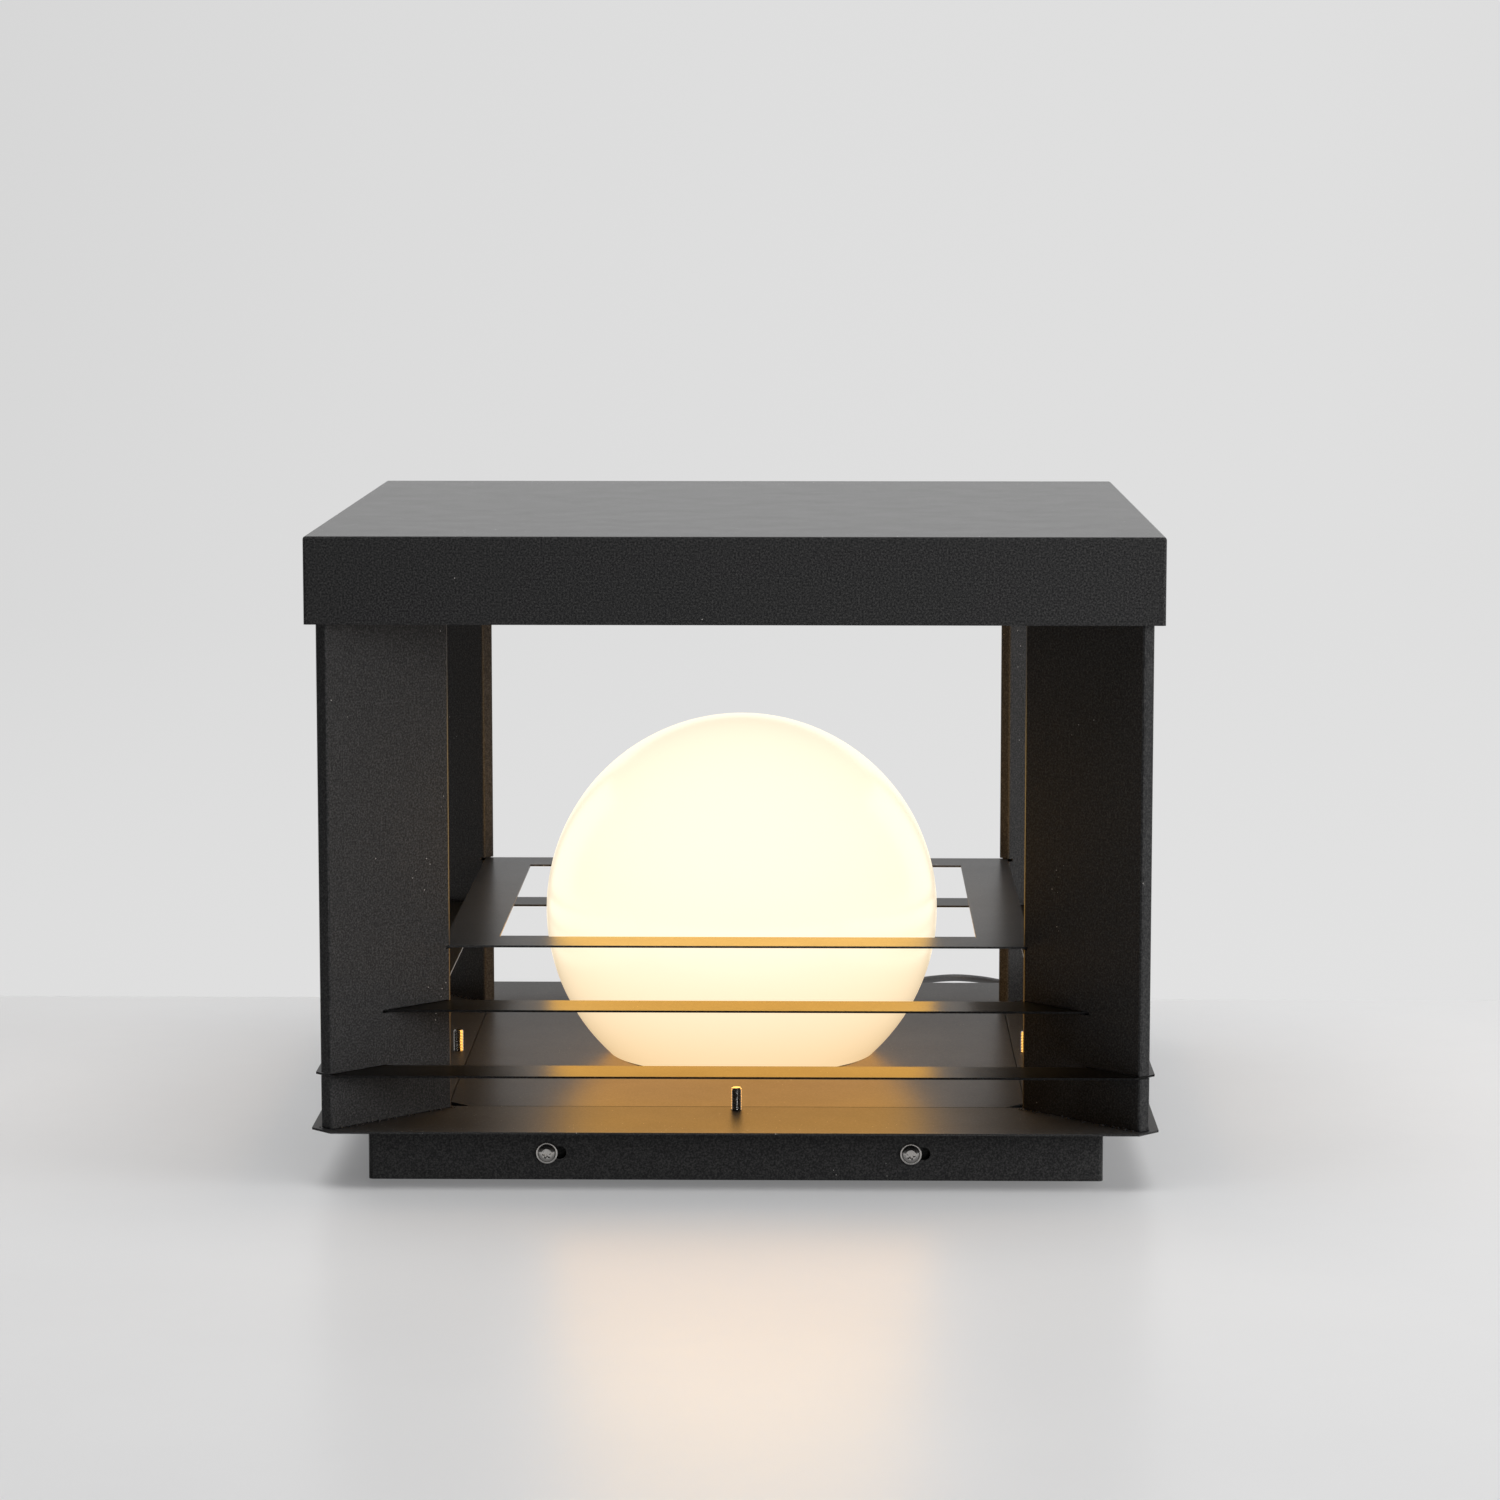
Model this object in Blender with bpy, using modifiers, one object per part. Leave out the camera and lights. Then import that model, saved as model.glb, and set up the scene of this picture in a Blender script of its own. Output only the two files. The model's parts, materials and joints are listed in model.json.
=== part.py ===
"""Square post-top lantern: a folded sheet-metal cage with a flat roof, four flat corner posts and three
louvre rings, standing on a low foot. The foot is screwed to a tray on the pillar and carries an opal globe
over a screw-in lamp. The cage lifts off the foot over the globe. Metres, +Z up, origin on the ground at
the centre of the foot, front towards -Y."""
import math

import bmesh
import bpy
from mathutils import Matrix, Vector

MM = 0.001
GAP = 0.3 * MM                      # left between pieces that touch

# Cage
ROOF_HALF = 200 * MM
ROOF_TOP = 309 * MM
ROOF_SKIRT = 41 * MM
SHEET = 1.0 * MM                    # roof, posts, rings and ring plate
BEND = 1.2 * MM                     # outer radius of a folded edge
RING_PLATE_HALF = 200 * MM
CORNER_CUT = 9.8 * MM               # chamfer on the corners of the plate and the lower ring
OPENING_HALF = 140 * MM             # opening of the ring plate, filled by the lamp plate
POST_INNER = 140.2 * MM             # both coordinates of the post's inner end, along the diagonal
POST_OUTER = 193.2 * MM
POST_THICK = 7.5 * MM
RING_HALVES = {"lower": 198 * MM, "middle": 170 * MM, "upper": 142 * MM}
RING_PITCH = 26.4 * MM
RING_STRIP = 26 * MM
FRAME_HALF = 197.5 * MM             # flat frame under the roof
FRAME_OPENING = 120 * MM
FRAME_CUT = 12 * MM
ROOF_BOSS_AT = 150 * MM
ROOF_BOSS_RADIUS = 6 * MM
FRAME_DROP = 5 * MM                 # frame's upper face below the roof's outer face

# Foot and tray
FOOT_HALF = 175 * MM
FOOT_WALL = 1.2 * MM
FOOT_BEND = 2 * MM
FOOT_TOP = 26.9 * MM
FLANGE_HALF = 131 * MM              # opening inside the foot's top flange
SLOT_AT = 86.7 * MM
SLOT_LENGTH = 12.5 * MM
SLOT_WIDTH = 6.2 * MM
SLOT_HEIGHT = 13 * MM
SCREW_SHIFT = -3.1 * MM             # front and rear screws sit at the left ends of their slots
TRAY_HALF = 169 * MM
TRAY_RIM = 23 * MM
TRAY_HOLE = 30 * MM
ANCHOR_AT = 110 * MM
BOLT_AT = 146 * MM                  # four threaded studs that locate the cage
BOLT_TOP = 39.1 * MM

# Lamp
GLOBE_RADIUS = 100 * MM
GLOBE_CENTRE = 103 * MM
GLOBE_WALL = 3 * MM
GLOBE_MOUTH = 49.5 * MM
COLLAR_RADIUS = 48.8 * MM
COLLAR_SCREW_AT = 42 * MM
HOLDER_SCREW_AT = 18.4 * MM
HOLDER_TOP = 78 * MM
CAP_RADIUS = 13.3 * MM
BULB_RADIUS = 30 * MM
BULB_TOP = 149 * MM

# Cord
CORD_RADIUS = 2.1 * MM
CORD_BORE = CORD_RADIUS + GAP
CORE_RADIUS = 0.6 * MM
CORE_PITCH = 1.3 * MM               # between the three cores where they leave the sheath
EXIT_X = 20 * MM
EXIT_Z = 13 * MM
WIRE_Z = 8 * MM                     # height of the lead in the clamp and the terminal block
SCREW_HOLE = 1.9 * MM               # clearance round an M3 screw
RELIEF_TIP = 196 * MM
CORD_START = 188.5 * MM
COIL_CENTRE = (128 * MM, 250 * MM)
COIL_MEAN = 24 * MM
COIL_HALF_WIDTH = 6.6 * MM
COIL_BOTTOM = 1.2 * MM
COIL_TOP = 10 * MM

# Heights that follow from the sheets lying on each other
PLATE_BOTTOM = FOOT_TOP + GAP
PLATE_TOP = PLATE_BOTTOM + SHEET
ON_PLATE = PLATE_TOP + GAP
FRAME_TOP = ROOF_TOP - FRAME_DROP
POST_TOP = FRAME_TOP - SHEET - GAP
RING_TOPS = {name: PLATE_TOP + RING_PITCH * step for step, name in enumerate(RING_HALVES, 1)}

SIDES = {"front": -90, "right": 0, "rear": 90, "left": 180}
CORNERS = {"front_left": 225, "front_right": 315, "rear_right": 45, "rear_left": 135}

ROUTE_OUT = [                       # centreline of the free cord, from the strain relief to the coil, in mm
    (20, 188.5, 13), (20, 200, 13), (20.5, 214, 11.4), (22, 230, 7.2), (25, 246, 3.4), (31, 264, 2.3),
    (42, 284, 2.2), (59, 308, 2.2), (80, 331, 2.2), (97, 346.6, 2.2), (108.7, 357.3, 2.2),
    (121, 361.8, 2.2), (133.3, 357.3, 2.2), (146, 345.6, 2.2), (160, 331, 2.2), (172, 314, 2.3),
    (177.5, 297, 2.6), (176, 281, 3), (169, 268, 3.3), (162, 258.5, 3.4)]
ROUTE_TAIL = [(94.6, 252, 3.4), (94, 262, 2.8), (91.5, 274, 2.3), (87, 286, 2.2)]
ROUTE_INNER = [(20, 135.3, 8), (20, 146, 8), (20, 155, 8), (20, 160, 9.6), (20, 165, 12), (20, 169.5, 13),
               (20, 175, 13), (20, 188, 13)]
ROUTE_LAMP = [(20, 104.7, 8), (19, 90, 6.5), (13, 60, 5), (4, 25, 5), (0, 6, 9), (0, 0, 18), (0, 0, 37.5)]
CORE_ENDS = {"core_brown": (78.5, 297, 1.4), "core_blue": (83, 300, 1.2), "core_green": (88, 300.5, 1.4)}


def clear_scene():
    for obj in list(bpy.data.objects):
        bpy.data.objects.remove(obj, do_unlink=True)


def new_collection(name):
    collection = bpy.data.collections.new(name)
    bpy.context.scene.collection.children.link(collection)
    return collection


def make_material(name, colour, roughness, metallic):
    material = bpy.data.materials.new(name)
    material.use_nodes = True
    shader = material.node_tree.nodes["Principled BSDF"]
    shader.inputs["Base Color"].default_value = (*colour, 1)
    shader.inputs["Roughness"].default_value = roughness
    shader.inputs["Metallic"].default_value = metallic
    return material


clear_scene()
PARTS = new_collection("pillar_lantern")
CUTTERS = new_collection("cutters")
BLACK = make_material("black_powder_coat", (0.022, 0.022, 0.023), 0.45, 0.0)
GALVANISED = make_material("galvanised_sheet", (0.55, 0.56, 0.57), 0.4, 1.0)
STAINLESS = make_material("stainless_steel", (0.62, 0.61, 0.59), 0.25, 1.0)
OPAL = make_material("opal_glass", (0.95, 0.93, 0.88), 0.25, 0.0)
BULB = make_material("bulb_glass", (0.95, 0.94, 0.9), 0.3, 0.0)
BRASS = make_material("nickel_brass_cap", (0.75, 0.7, 0.6), 0.3, 1.0)
PORCELAIN = make_material("porcelain", (0.85, 0.84, 0.8), 0.2, 0.0)
SILICONE = make_material("silicone", (0.75, 0.75, 0.73), 0.6, 0.0)
PLASTIC = make_material("black_plastic", (0.03, 0.03, 0.03), 0.5, 0.0)
TERMINAL = make_material("terminal_plastic", (0.8, 0.8, 0.76), 0.4, 0.0)
CABLE = make_material("cable_sheath", (0.045, 0.045, 0.045), 0.5, 0.0)
BROWN = make_material("core_brown", (0.16, 0.06, 0.02), 0.45, 0.0)
BLUE = make_material("core_blue", (0.03, 0.12, 0.45), 0.45, 0.0)
GREEN = make_material("core_green", (0.1, 0.4, 0.08), 0.45, 0.0)


# ---- building blocks ----

def place(mesh, name, collection, material=None):
    """Object of a mesh; a cutter is hidden from the render and drawn as wire."""
    obj = bpy.data.objects.new(name, mesh)
    collection.objects.link(obj)
    if material:
        mesh.materials.clear()
        mesh.materials.append(material)
    if collection is CUTTERS:
        obj.hide_render = True
        obj.display_type = "WIRE"
    return obj


def slab_mesh(half_x, half_y, bottom, top, corner=0.0, rounds=1):
    """Flat block centred on the axis, its four upright edges chamfered or rounded."""
    work = bmesh.new()
    bmesh.ops.create_cube(work, size=1)
    bmesh.ops.scale(work, vec=(2 * half_x, 2 * half_y, top - bottom), verts=work.verts)
    bmesh.ops.translate(work, vec=(0, 0, (top + bottom) / 2), verts=work.verts)
    if corner:
        upright = [e for e in work.edges if abs(e.verts[0].co.z - e.verts[1].co.z) > (top - bottom) / 2]
        bmesh.ops.bevel(work, geom=upright, offset=corner, segments=rounds, profile=0.5, affect="EDGES")
    mesh = bpy.data.meshes.new("slab")
    work.to_mesh(mesh)
    work.free()
    return mesh


def slab(name, half, bottom, top, material, corner=0.0, rounds=1):
    return place(slab_mesh(half, half, bottom, top, corner, rounds), name, PARTS, material)


def slab_cutter(half_x, half_y, bottom, top, at=(0, 0, 0), turn=None, corner=0.0, rounds=1):
    cutter = place(slab_mesh(half_x, half_y, bottom, top, corner, rounds), "cutter", CUTTERS)
    cutter.matrix_world = Matrix.Translation(at) @ (turn or Matrix.Identity(4))
    return cutter


def rod_mesh(radius, bottom, top, sides=12):
    work = bmesh.new()
    bmesh.ops.create_cone(work, cap_ends=True, segments=sides, radius1=radius, radius2=radius,
                          depth=top - bottom)
    bmesh.ops.translate(work, vec=(0, 0, (top + bottom) / 2), verts=work.verts)
    mesh = bpy.data.meshes.new("rod")
    work.to_mesh(mesh)
    work.free()
    return mesh


def rod_cutter(radius, bottom, top, at=(0, 0, 0), turn=None, sides=12):
    cutter = place(rod_mesh(radius, bottom, top, sides), "cutter", CUTTERS)
    cutter.matrix_world = Matrix.Translation(at) @ (turn or Matrix.Identity(4))
    return cutter


def combine(obj, others, operation="DIFFERENCE"):
    """Boolean of obj with each of the others, as modifiers."""
    for other in others:
        modifier = obj.modifiers.new(operation.lower(), "BOOLEAN")
        modifier.operation = operation
        modifier.object = other
        modifier.solver = "EXACT"
    return obj


def bake(obj):
    """The object's final mesh, with its modifiers applied; the object itself goes."""
    bpy.context.view_layer.update()
    mesh = bpy.data.meshes.new_from_object(obj.evaluated_get(bpy.context.evaluated_depsgraph_get()))
    bpy.data.objects.remove(obj)
    return mesh


def turned(name, profile, material, steps=24, closed=False, collection=None):
    """Body of revolution about Z. The profile at +X runs down its outer side."""
    mesh = bpy.data.meshes.new(name)
    edges = [(i, i + 1) for i in range(len(profile) - 1)]
    if closed:
        edges.append((len(profile) - 1, 0))
    mesh.from_pydata([(radius, 0, height) for radius, height in profile], edges, [])
    obj = place(mesh, name, collection or PARTS, material)
    screw = obj.modifiers.new("turn", "SCREW")
    screw.axis = "Z"
    screw.steps = steps
    screw.render_steps = steps
    screw.use_merge_vertices = True
    screw.merge_threshold = 0.00001
    screw.use_smooth_shade = True
    return obj


def arc(centre_z, radius, start, end, steps):
    """Points (radius, height) of a circle arc about (0, centre_z), angles in degrees from the top."""
    angles = [math.radians(start + (end - start) * i / steps) for i in range(steps + 1)]
    return [(radius * math.sin(a), centre_z + radius * math.cos(a)) for a in angles]


def smooth_points(route, spacing):
    """Points at an even spacing on a smooth curve through the route's points, given in mm."""
    knots = [Vector(p) * MM for p in route]
    ends = [2 * knots[0] - knots[1]] + knots + [2 * knots[-1] - knots[-2]]
    dense = []
    fine = 24
    for p0, p1, p2, p3 in zip(ends, ends[1:], ends[2:], ends[3:]):
        for i in range(fine):
            t = i / fine
            dense.append(0.5 * (2 * p1 + (p2 - p0) * t + (2 * p0 - 5 * p1 + 4 * p2 - p3) * t ** 2
                                + (3 * p1 - p0 - 3 * p2 + p3) * t ** 3))
    dense.append(knots[-1])
    lengths = [0.0]
    for a, b in zip(dense, dense[1:]):
        lengths.append(lengths[-1] + (b - a).length)
    count = max(2, round(lengths[-1] / spacing))
    points, i = [], 0
    for step in range(count + 1):
        target = lengths[-1] * step / count
        while i < len(dense) - 2 and lengths[i + 1] < target:
            i += 1
        share = (target - lengths[i]) / max(lengths[i + 1] - lengths[i], 1e-12)
        points.append(dense[i].lerp(dense[i + 1], min(share, 1.0)))
    return points


def tube(name, points, radius, material):
    curve = bpy.data.curves.new(name, "CURVE")
    curve.dimensions = "3D"
    curve.bevel_depth = radius
    curve.bevel_resolution = 2
    curve.use_fill_caps = True
    spline = curve.splines.new("POLY")
    spline.points.add(len(points) - 1)
    for place_at, point in zip(spline.points, points):
        place_at.co = (*point, 1)
    curve.materials.append(material)
    obj = bpy.data.objects.new(name, curve)
    PARTS.objects.link(obj)
    return obj


def towards(angle):
    """Turns +Z to the horizontal direction at an angle from +X, and +X to the horizontal right of it."""
    return Matrix.Rotation(math.radians(angle), 4, "Z") @ Matrix(
        ((0, 0, 1, 0), (1, 0, 0, 0), (0, 1, 0, 0), (0, 0, 0, 1)))


def around(angle, distance, height=0.0):
    """A point at a distance from the axis, in the direction of an angle."""
    radians = math.radians(angle)
    return Vector((distance * math.cos(radians), distance * math.sin(radians), height))


# ---- fasteners ----

def side_screw_mesh():
    """M5 screw with a domed head on a washer face and a hexagon socket; the head's seat is at z = 0."""
    dome = [(4.2 * MM * math.sin(a), (0.8 + 2.1 * math.cos(a)) * MM)
            for a in (math.radians(30 * i) for i in range(4))]
    profile = dome + [(5.2 * MM, 0.75 * MM), (5.2 * MM, 0), (2.5 * MM, 0), (2.5 * MM, -15.4 * MM),
                      (2.0 * MM, -16 * MM), (0, -16 * MM)]
    screw = turned("screw", profile, STAINLESS, steps=12)
    return bake(combine(screw, [rod_cutter(1.7 * MM, 1.5 * MM, 4 * MM, sides=6)]))


def side_screws():
    """Two screws on each side of the foot, through its slots into the tray's rim."""
    mesh = side_screw_mesh()
    for side, angle in SIDES.items():
        for hand, along in (("a", -SLOT_AT), ("b", SLOT_AT)):
            screw = place(mesh, f"side_screw_{side}_{hand}", PARTS)
            seat = screw_place(angle, along, FOOT_HALF + GAP)
            screw.matrix_world = Matrix.Translation(seat) @ towards(angle)


def screw_place(angle, along, distance):
    """Centre of a side screw: the whole tray sits a little to the left of the foot."""
    shift = SCREW_SHIFT if angle % 180 else 0
    return around(angle, distance, SLOT_HEIGHT) + around(angle + 90, along) + Vector((shift, 0, 0))


def small_screw_mesh(shank, head, length):
    """Pan-head screw standing up, its seat at z = 0."""
    profile = [(0, head), (shank * 1.5, head * 0.85), (shank * 1.9, 0), (shank, 0), (shank, -length),
               (0, -length)]
    return bake(turned("small_screw", profile, STAINLESS, steps=10))


def cage_bolts():
    """Four M5 bolts up through the foot's flange; their bare threads stand up through the ring plate."""
    radius = 2.5 * MM
    head_top = FOOT_TOP - FOOT_WALL - GAP
    profile = [(0, BOLT_TOP), (radius - 0.6 * MM, BOLT_TOP), (radius, BOLT_TOP - 0.6 * MM),
               (radius, head_top - 1 * MM), (0, head_top - 1 * MM)]
    shank = turned("bolt", profile, STAINLESS, steps=12)
    head = place(rod_mesh(4.6 * MM, head_top - 3.5 * MM, head_top, sides=6), "bolt_head", CUTTERS)
    mesh = bake(combine(shank, [head], "UNION"))
    for side, angle in SIDES.items():
        place(mesh, f"cage_bolt_{side}", PARTS).location = around(angle, BOLT_AT)


# ---- foot and tray ----

def foot_skirt():
    """Folded square box, open below, with an inward flange on top that the plates lie on."""
    foot = slab("foot_skirt", FOOT_HALF, 0, FOOT_TOP, BLACK, FOOT_BEND, 2)
    inner = FOOT_HALF - FOOT_WALL
    cuts = [slab_cutter(inner, inner, -1 * MM, FOOT_TOP - FOOT_WALL),
            slab_cutter(FLANGE_HALF, FLANGE_HALF, 0, 2 * FOOT_TOP)]
    for angle in SIDES.values():
        cuts.append(rod_cutter(2.8 * MM, 0, 2 * FOOT_TOP, around(angle, BOLT_AT)))
        for along in (-SLOT_AT, SLOT_AT):
            at = around(angle, FOOT_HALF, SLOT_HEIGHT) + around(angle + 90, along)
            cuts.append(slab_cutter(SLOT_LENGTH / 2, SLOT_WIDTH / 2, -3 * MM, 3 * MM, at, towards(angle),
                                    SLOT_WIDTH / 2.02, 3))
    cuts.append(rod_cutter(5 * MM, -3 * MM, 3 * MM, (EXIT_X, FOOT_HALF, EXIT_Z), towards(90)))
    return combine(foot, cuts)


def mount_tray():
    """Tray that is screwed to the pillar: cable hole, four anchor slots, threaded holes in its rim."""
    tray = slab("mount_tray", TRAY_HALF, 0, TRAY_RIM, BLACK, FOOT_BEND, 2)
    inner = TRAY_HALF - FOOT_WALL
    cuts = [slab_cutter(inner, inner, FOOT_WALL, 2 * TRAY_RIM),
            rod_cutter(TRAY_HOLE, -1 * MM, 3 * MM, sides=24)]
    for angle in CORNERS.values():
        cuts.append(slab_cutter(10 * MM, 4 * MM, -1 * MM, 3 * MM, around(angle, ANCHOR_AT),
                                Matrix.Rotation(math.radians(angle), 4, "Z"), 3.9 * MM, 3))
    for angle in SIDES.values():
        for along in (-SLOT_AT, SLOT_AT):
            at = around(angle, TRAY_HALF, SLOT_HEIGHT) + around(angle + 90, along)
            cuts.append(rod_cutter(2.8 * MM, -4 * MM, 4 * MM, at, towards(angle)))
    notch = 6 * MM
    cuts.append(slab_cutter(notch, 5 * MM, notch, 2 * TRAY_RIM, (EXIT_X - SCREW_SHIFT, TRAY_HALF, 0)))
    for cutter in cuts:
        cutter.matrix_world = Matrix.Translation((SCREW_SHIFT, 0, 0)) @ cutter.matrix_world
    tray.location.x = SCREW_SHIFT
    return combine(tray, cuts)


def lamp_plate():
    """Plate that fills the ring plate's opening and carries the lamp; cropped corners leave small gaps."""
    plate = slab("lamp_plate", OPENING_HALF - 0.6 * MM, PLATE_BOTTOM, PLATE_TOP, BLACK, CORNER_CUT, 1)
    holes = [rod_cutter(4 * MM, 0, 2 * FOOT_TOP)]
    for i in range(3):
        holes.append(rod_cutter(SCREW_HOLE, 0, 2 * FOOT_TOP, around(90 + 120 * i, COLLAR_SCREW_AT)))
    for angle in (0, 180):
        holes.append(rod_cutter(SCREW_HOLE, 0, 2 * FOOT_TOP, around(angle, HOLDER_SCREW_AT)))
    return combine(plate, holes)


# ---- lamp ----

def lampholder():
    base = ON_PLATE
    outer, flange, bore, cable = 19 * MM, 23 * MM, CAP_RADIUS + 1 * MM, 3 * MM
    profile = [(outer, HOLDER_TOP), (outer, base + 8 * MM), (flange, base + 4.5 * MM), (flange, base),
               (cable, base), (cable, base + 10 * MM), (bore, base + 10 * MM), (bore, HOLDER_TOP)]
    holder = turned("lampholder", profile, PORCELAIN, steps=20, closed=True)
    seats = []
    for angle in (0, 180):
        seats.append(rod_cutter(SCREW_HOLE, 0, base + 4 * MM, around(angle, HOLDER_SCREW_AT)))
        seats.append(rod_cutter(3.2 * MM, base + 3 * MM, base + 12 * MM, around(angle, HOLDER_SCREW_AT)))
    combine(holder, seats)
    mesh = small_screw_mesh(1.5 * MM, 1.6 * MM, 8 * MM)
    for hand, angle in (("right", 0), ("left", 180)):
        seat = base + 3 * MM + GAP
        place(mesh, f"holder_screw_{hand}", PARTS).location = around(angle, HOLDER_SCREW_AT, seat)
    return holder


def globe_collar():
    """Angle-section ring that centres the globe, on a soft gasket."""
    base = ON_PLATE
    inner, wall = 38 * MM, COLLAR_RADIUS - 2 * MM
    profile = [(COLLAR_RADIUS, base + 8.5 * MM), (COLLAR_RADIUS, base), (inner, base),
               (inner, base + 1.2 * MM), (wall, base + 1.2 * MM), (wall, base + 8.5 * MM)]
    collar = turned("globe_collar", profile, GALVANISED, steps=28, closed=True)
    places = [around(90 + 120 * i, COLLAR_SCREW_AT) for i in range(3)]
    combine(collar, [rod_cutter(SCREW_HOLE, 0, base + 3 * MM, at) for at in places])
    mesh = small_screw_mesh(1.5 * MM, 1.6 * MM, 8 * MM)
    for i, at in enumerate(places, 1):
        place(mesh, f"collar_screw_{i}", PARTS).location = at + Vector((0, 0, base + 1.2 * MM + GAP))
    turned("globe_gasket", [(64 * MM, base + 0.8 * MM), (64 * MM, base), (50.2 * MM, base),
                            (50.2 * MM, base + 0.8 * MM)], SILICONE, steps=28, closed=True)


def globe():
    """Opal ball with a flat foot and an open mouth, standing on the gasket."""
    foot = ON_PLATE + 0.8 * MM + GAP
    inside = GLOBE_RADIUS - GLOBE_WALL
    outer_end = math.degrees(math.acos((foot - GLOBE_CENTRE) / GLOBE_RADIUS))
    inner_end = math.degrees(math.acos((foot + GLOBE_WALL - GLOBE_CENTRE) / inside))
    outer = arc(GLOBE_CENTRE, GLOBE_RADIUS, 0, outer_end - 1.4, 14)
    edge = [(GLOBE_RADIUS * math.sin(math.radians(outer_end)) - 1.2 * MM, foot)]
    mouth = [(GLOBE_MOUTH, foot), (GLOBE_MOUTH, foot + GLOBE_WALL)]
    inner = arc(GLOBE_CENTRE, inside, inner_end, 0, 9)
    return turned("globe", outer + edge + mouth + inner, OPAL, steps=28)


def bulb():
    """Screw-in lamp: threaded cap and a pear-shaped glass open towards the cap."""
    cap_bottom = ON_PLATE + 12.5 * MM
    cap_top = cap_bottom + 25 * MM
    thread = []
    for turn in range(5):
        crest = cap_top - (2 + 3.6 * turn) * MM
        thread += [(CAP_RADIUS - 0.9 * MM, crest + 0.9 * MM), (CAP_RADIUS, crest)]
    end = [(CAP_RADIUS - 0.9 * MM, cap_bottom + 4 * MM), (5 * MM, cap_bottom), (0, cap_bottom)]
    turned("bulb_cap", [(0, cap_top)] + thread + end, BRASS, steps=14)
    centre = BULB_TOP - BULB_RADIUS
    wall = 1 * MM
    neck = 12.8 * MM
    foot = cap_top + GAP
    waist = [(17.5 * MM, foot + 21 * MM), (neck, foot + 12 * MM), (neck, foot)]
    outer = arc(centre, BULB_RADIUS, 0, 115, 6)
    inner = [(radius - wall, height) for radius, height in reversed(waist)]
    inner += arc(centre, BULB_RADIUS - wall, 115, 0, 5)
    turned("bulb_glass", outer + waist + inner, BULB, steps=16)


# ---- wiring ----

def terminal_block():
    """Two-way block with a wire entry at each end."""
    at_y, half_x, half_y, top = 120 * MM, 12 * MM, 15 * MM, 16 * MM
    mesh = slab_mesh(half_x, half_y, FOOT_WALL + GAP, top, 1.5 * MM, 2)
    block = place(mesh, "terminal_block", PARTS, TERMINAL)
    block.location = (EXIT_X, at_y, 0)
    entries = [rod_cutter(CORD_BORE, -10 * MM, 10 * MM, (EXIT_X, at_y + y, WIRE_Z), towards(90))
               for y in (-half_y, half_y)]
    screws = [rod_cutter(2 * MM, top - 5 * MM, top + 4 * MM, (EXIT_X + x, at_y + y, 0))
              for x in (-half_x / 2, half_x / 2) for y in (-7 * MM, 7 * MM)]
    return combine(block, entries + screws)


def cord_clamp():
    """Block that grips the cord, held on the tray by two screws."""
    at = Vector((EXIT_X, 150 * MM, 0))
    top = 13 * MM
    clamp = place(slab_mesh(13 * MM, 4 * MM, FOOT_WALL + GAP, top, 1 * MM, 2), "cord_clamp", PARTS, PLASTIC)
    clamp.location = at
    holes = [rod_cutter(CORD_BORE, -8 * MM, 8 * MM, at + Vector((0, 0, WIRE_Z)), towards(90))]
    mesh = small_screw_mesh(1.5 * MM, 1.6 * MM, 10 * MM)
    for hand, x in (("left", -9 * MM), ("right", 9 * MM)):
        holes.append(rod_cutter(SCREW_HOLE, 0, 2 * top, at + Vector((x, 0, 0))))
        place(mesh, f"clamp_screw_{hand}", PARTS).location = at + Vector((x, 0, top + GAP))
    return combine(clamp, holes)


def strain_relief():
    """Rubber bush gripped in the rear wall, with a tapered tail round the cord."""
    inside = FOOT_HALF - FOOT_WALL - GAP
    outside = FOOT_HALF + GAP
    tip = 3.6 * MM
    profile = [(CORD_BORE, RELIEF_TIP), (tip, RELIEF_TIP), (5 * MM, outside + 2.5 * MM),
               (7.5 * MM, outside + 2 * MM), (7.5 * MM, outside), (4.6 * MM, outside), (4.6 * MM, inside),
               (7 * MM, inside), (7 * MM, inside - 2 * MM), (CORD_BORE, inside - 2 * MM)]
    bush = turned("strain_relief", profile, PLASTIC, steps=14, closed=True)
    bush.matrix_world = Matrix.Translation((EXIT_X, 0, EXIT_Z)) @ towards(90)
    return bush


def coil_and_tie():
    """Outer shape of the coiled cord, and the band round its turns on the side nearest the foot."""
    inner = COIL_MEAN - COIL_HALF_WIDTH
    outer = COIL_MEAN + COIL_HALF_WIDTH
    profile = [(outer, COIL_TOP), (outer, COIL_BOTTOM), (inner, COIL_BOTTOM), (inner, COIL_TOP)]
    turned("cord_coil", profile, CABLE, steps=24, closed=True).location = (*COIL_CENTRE, 0)
    band = 0.8 * MM
    half = COIL_HALF_WIDTH + 0.6 * MM
    bottom, top = COIL_BOTTOM - 2 * GAP, COIL_TOP + 2 * GAP
    at = (COIL_CENTRE[0], COIL_CENTRE[1] - COIL_MEAN, 0)
    tie = place(slab_mesh(2.5 * MM, half + band, bottom - band / 2, top + band), "cord_tie", PARTS, PLASTIC)
    tie.location = at
    return combine(tie, [slab_cutter(5 * MM, half, bottom, top, at)])


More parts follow.
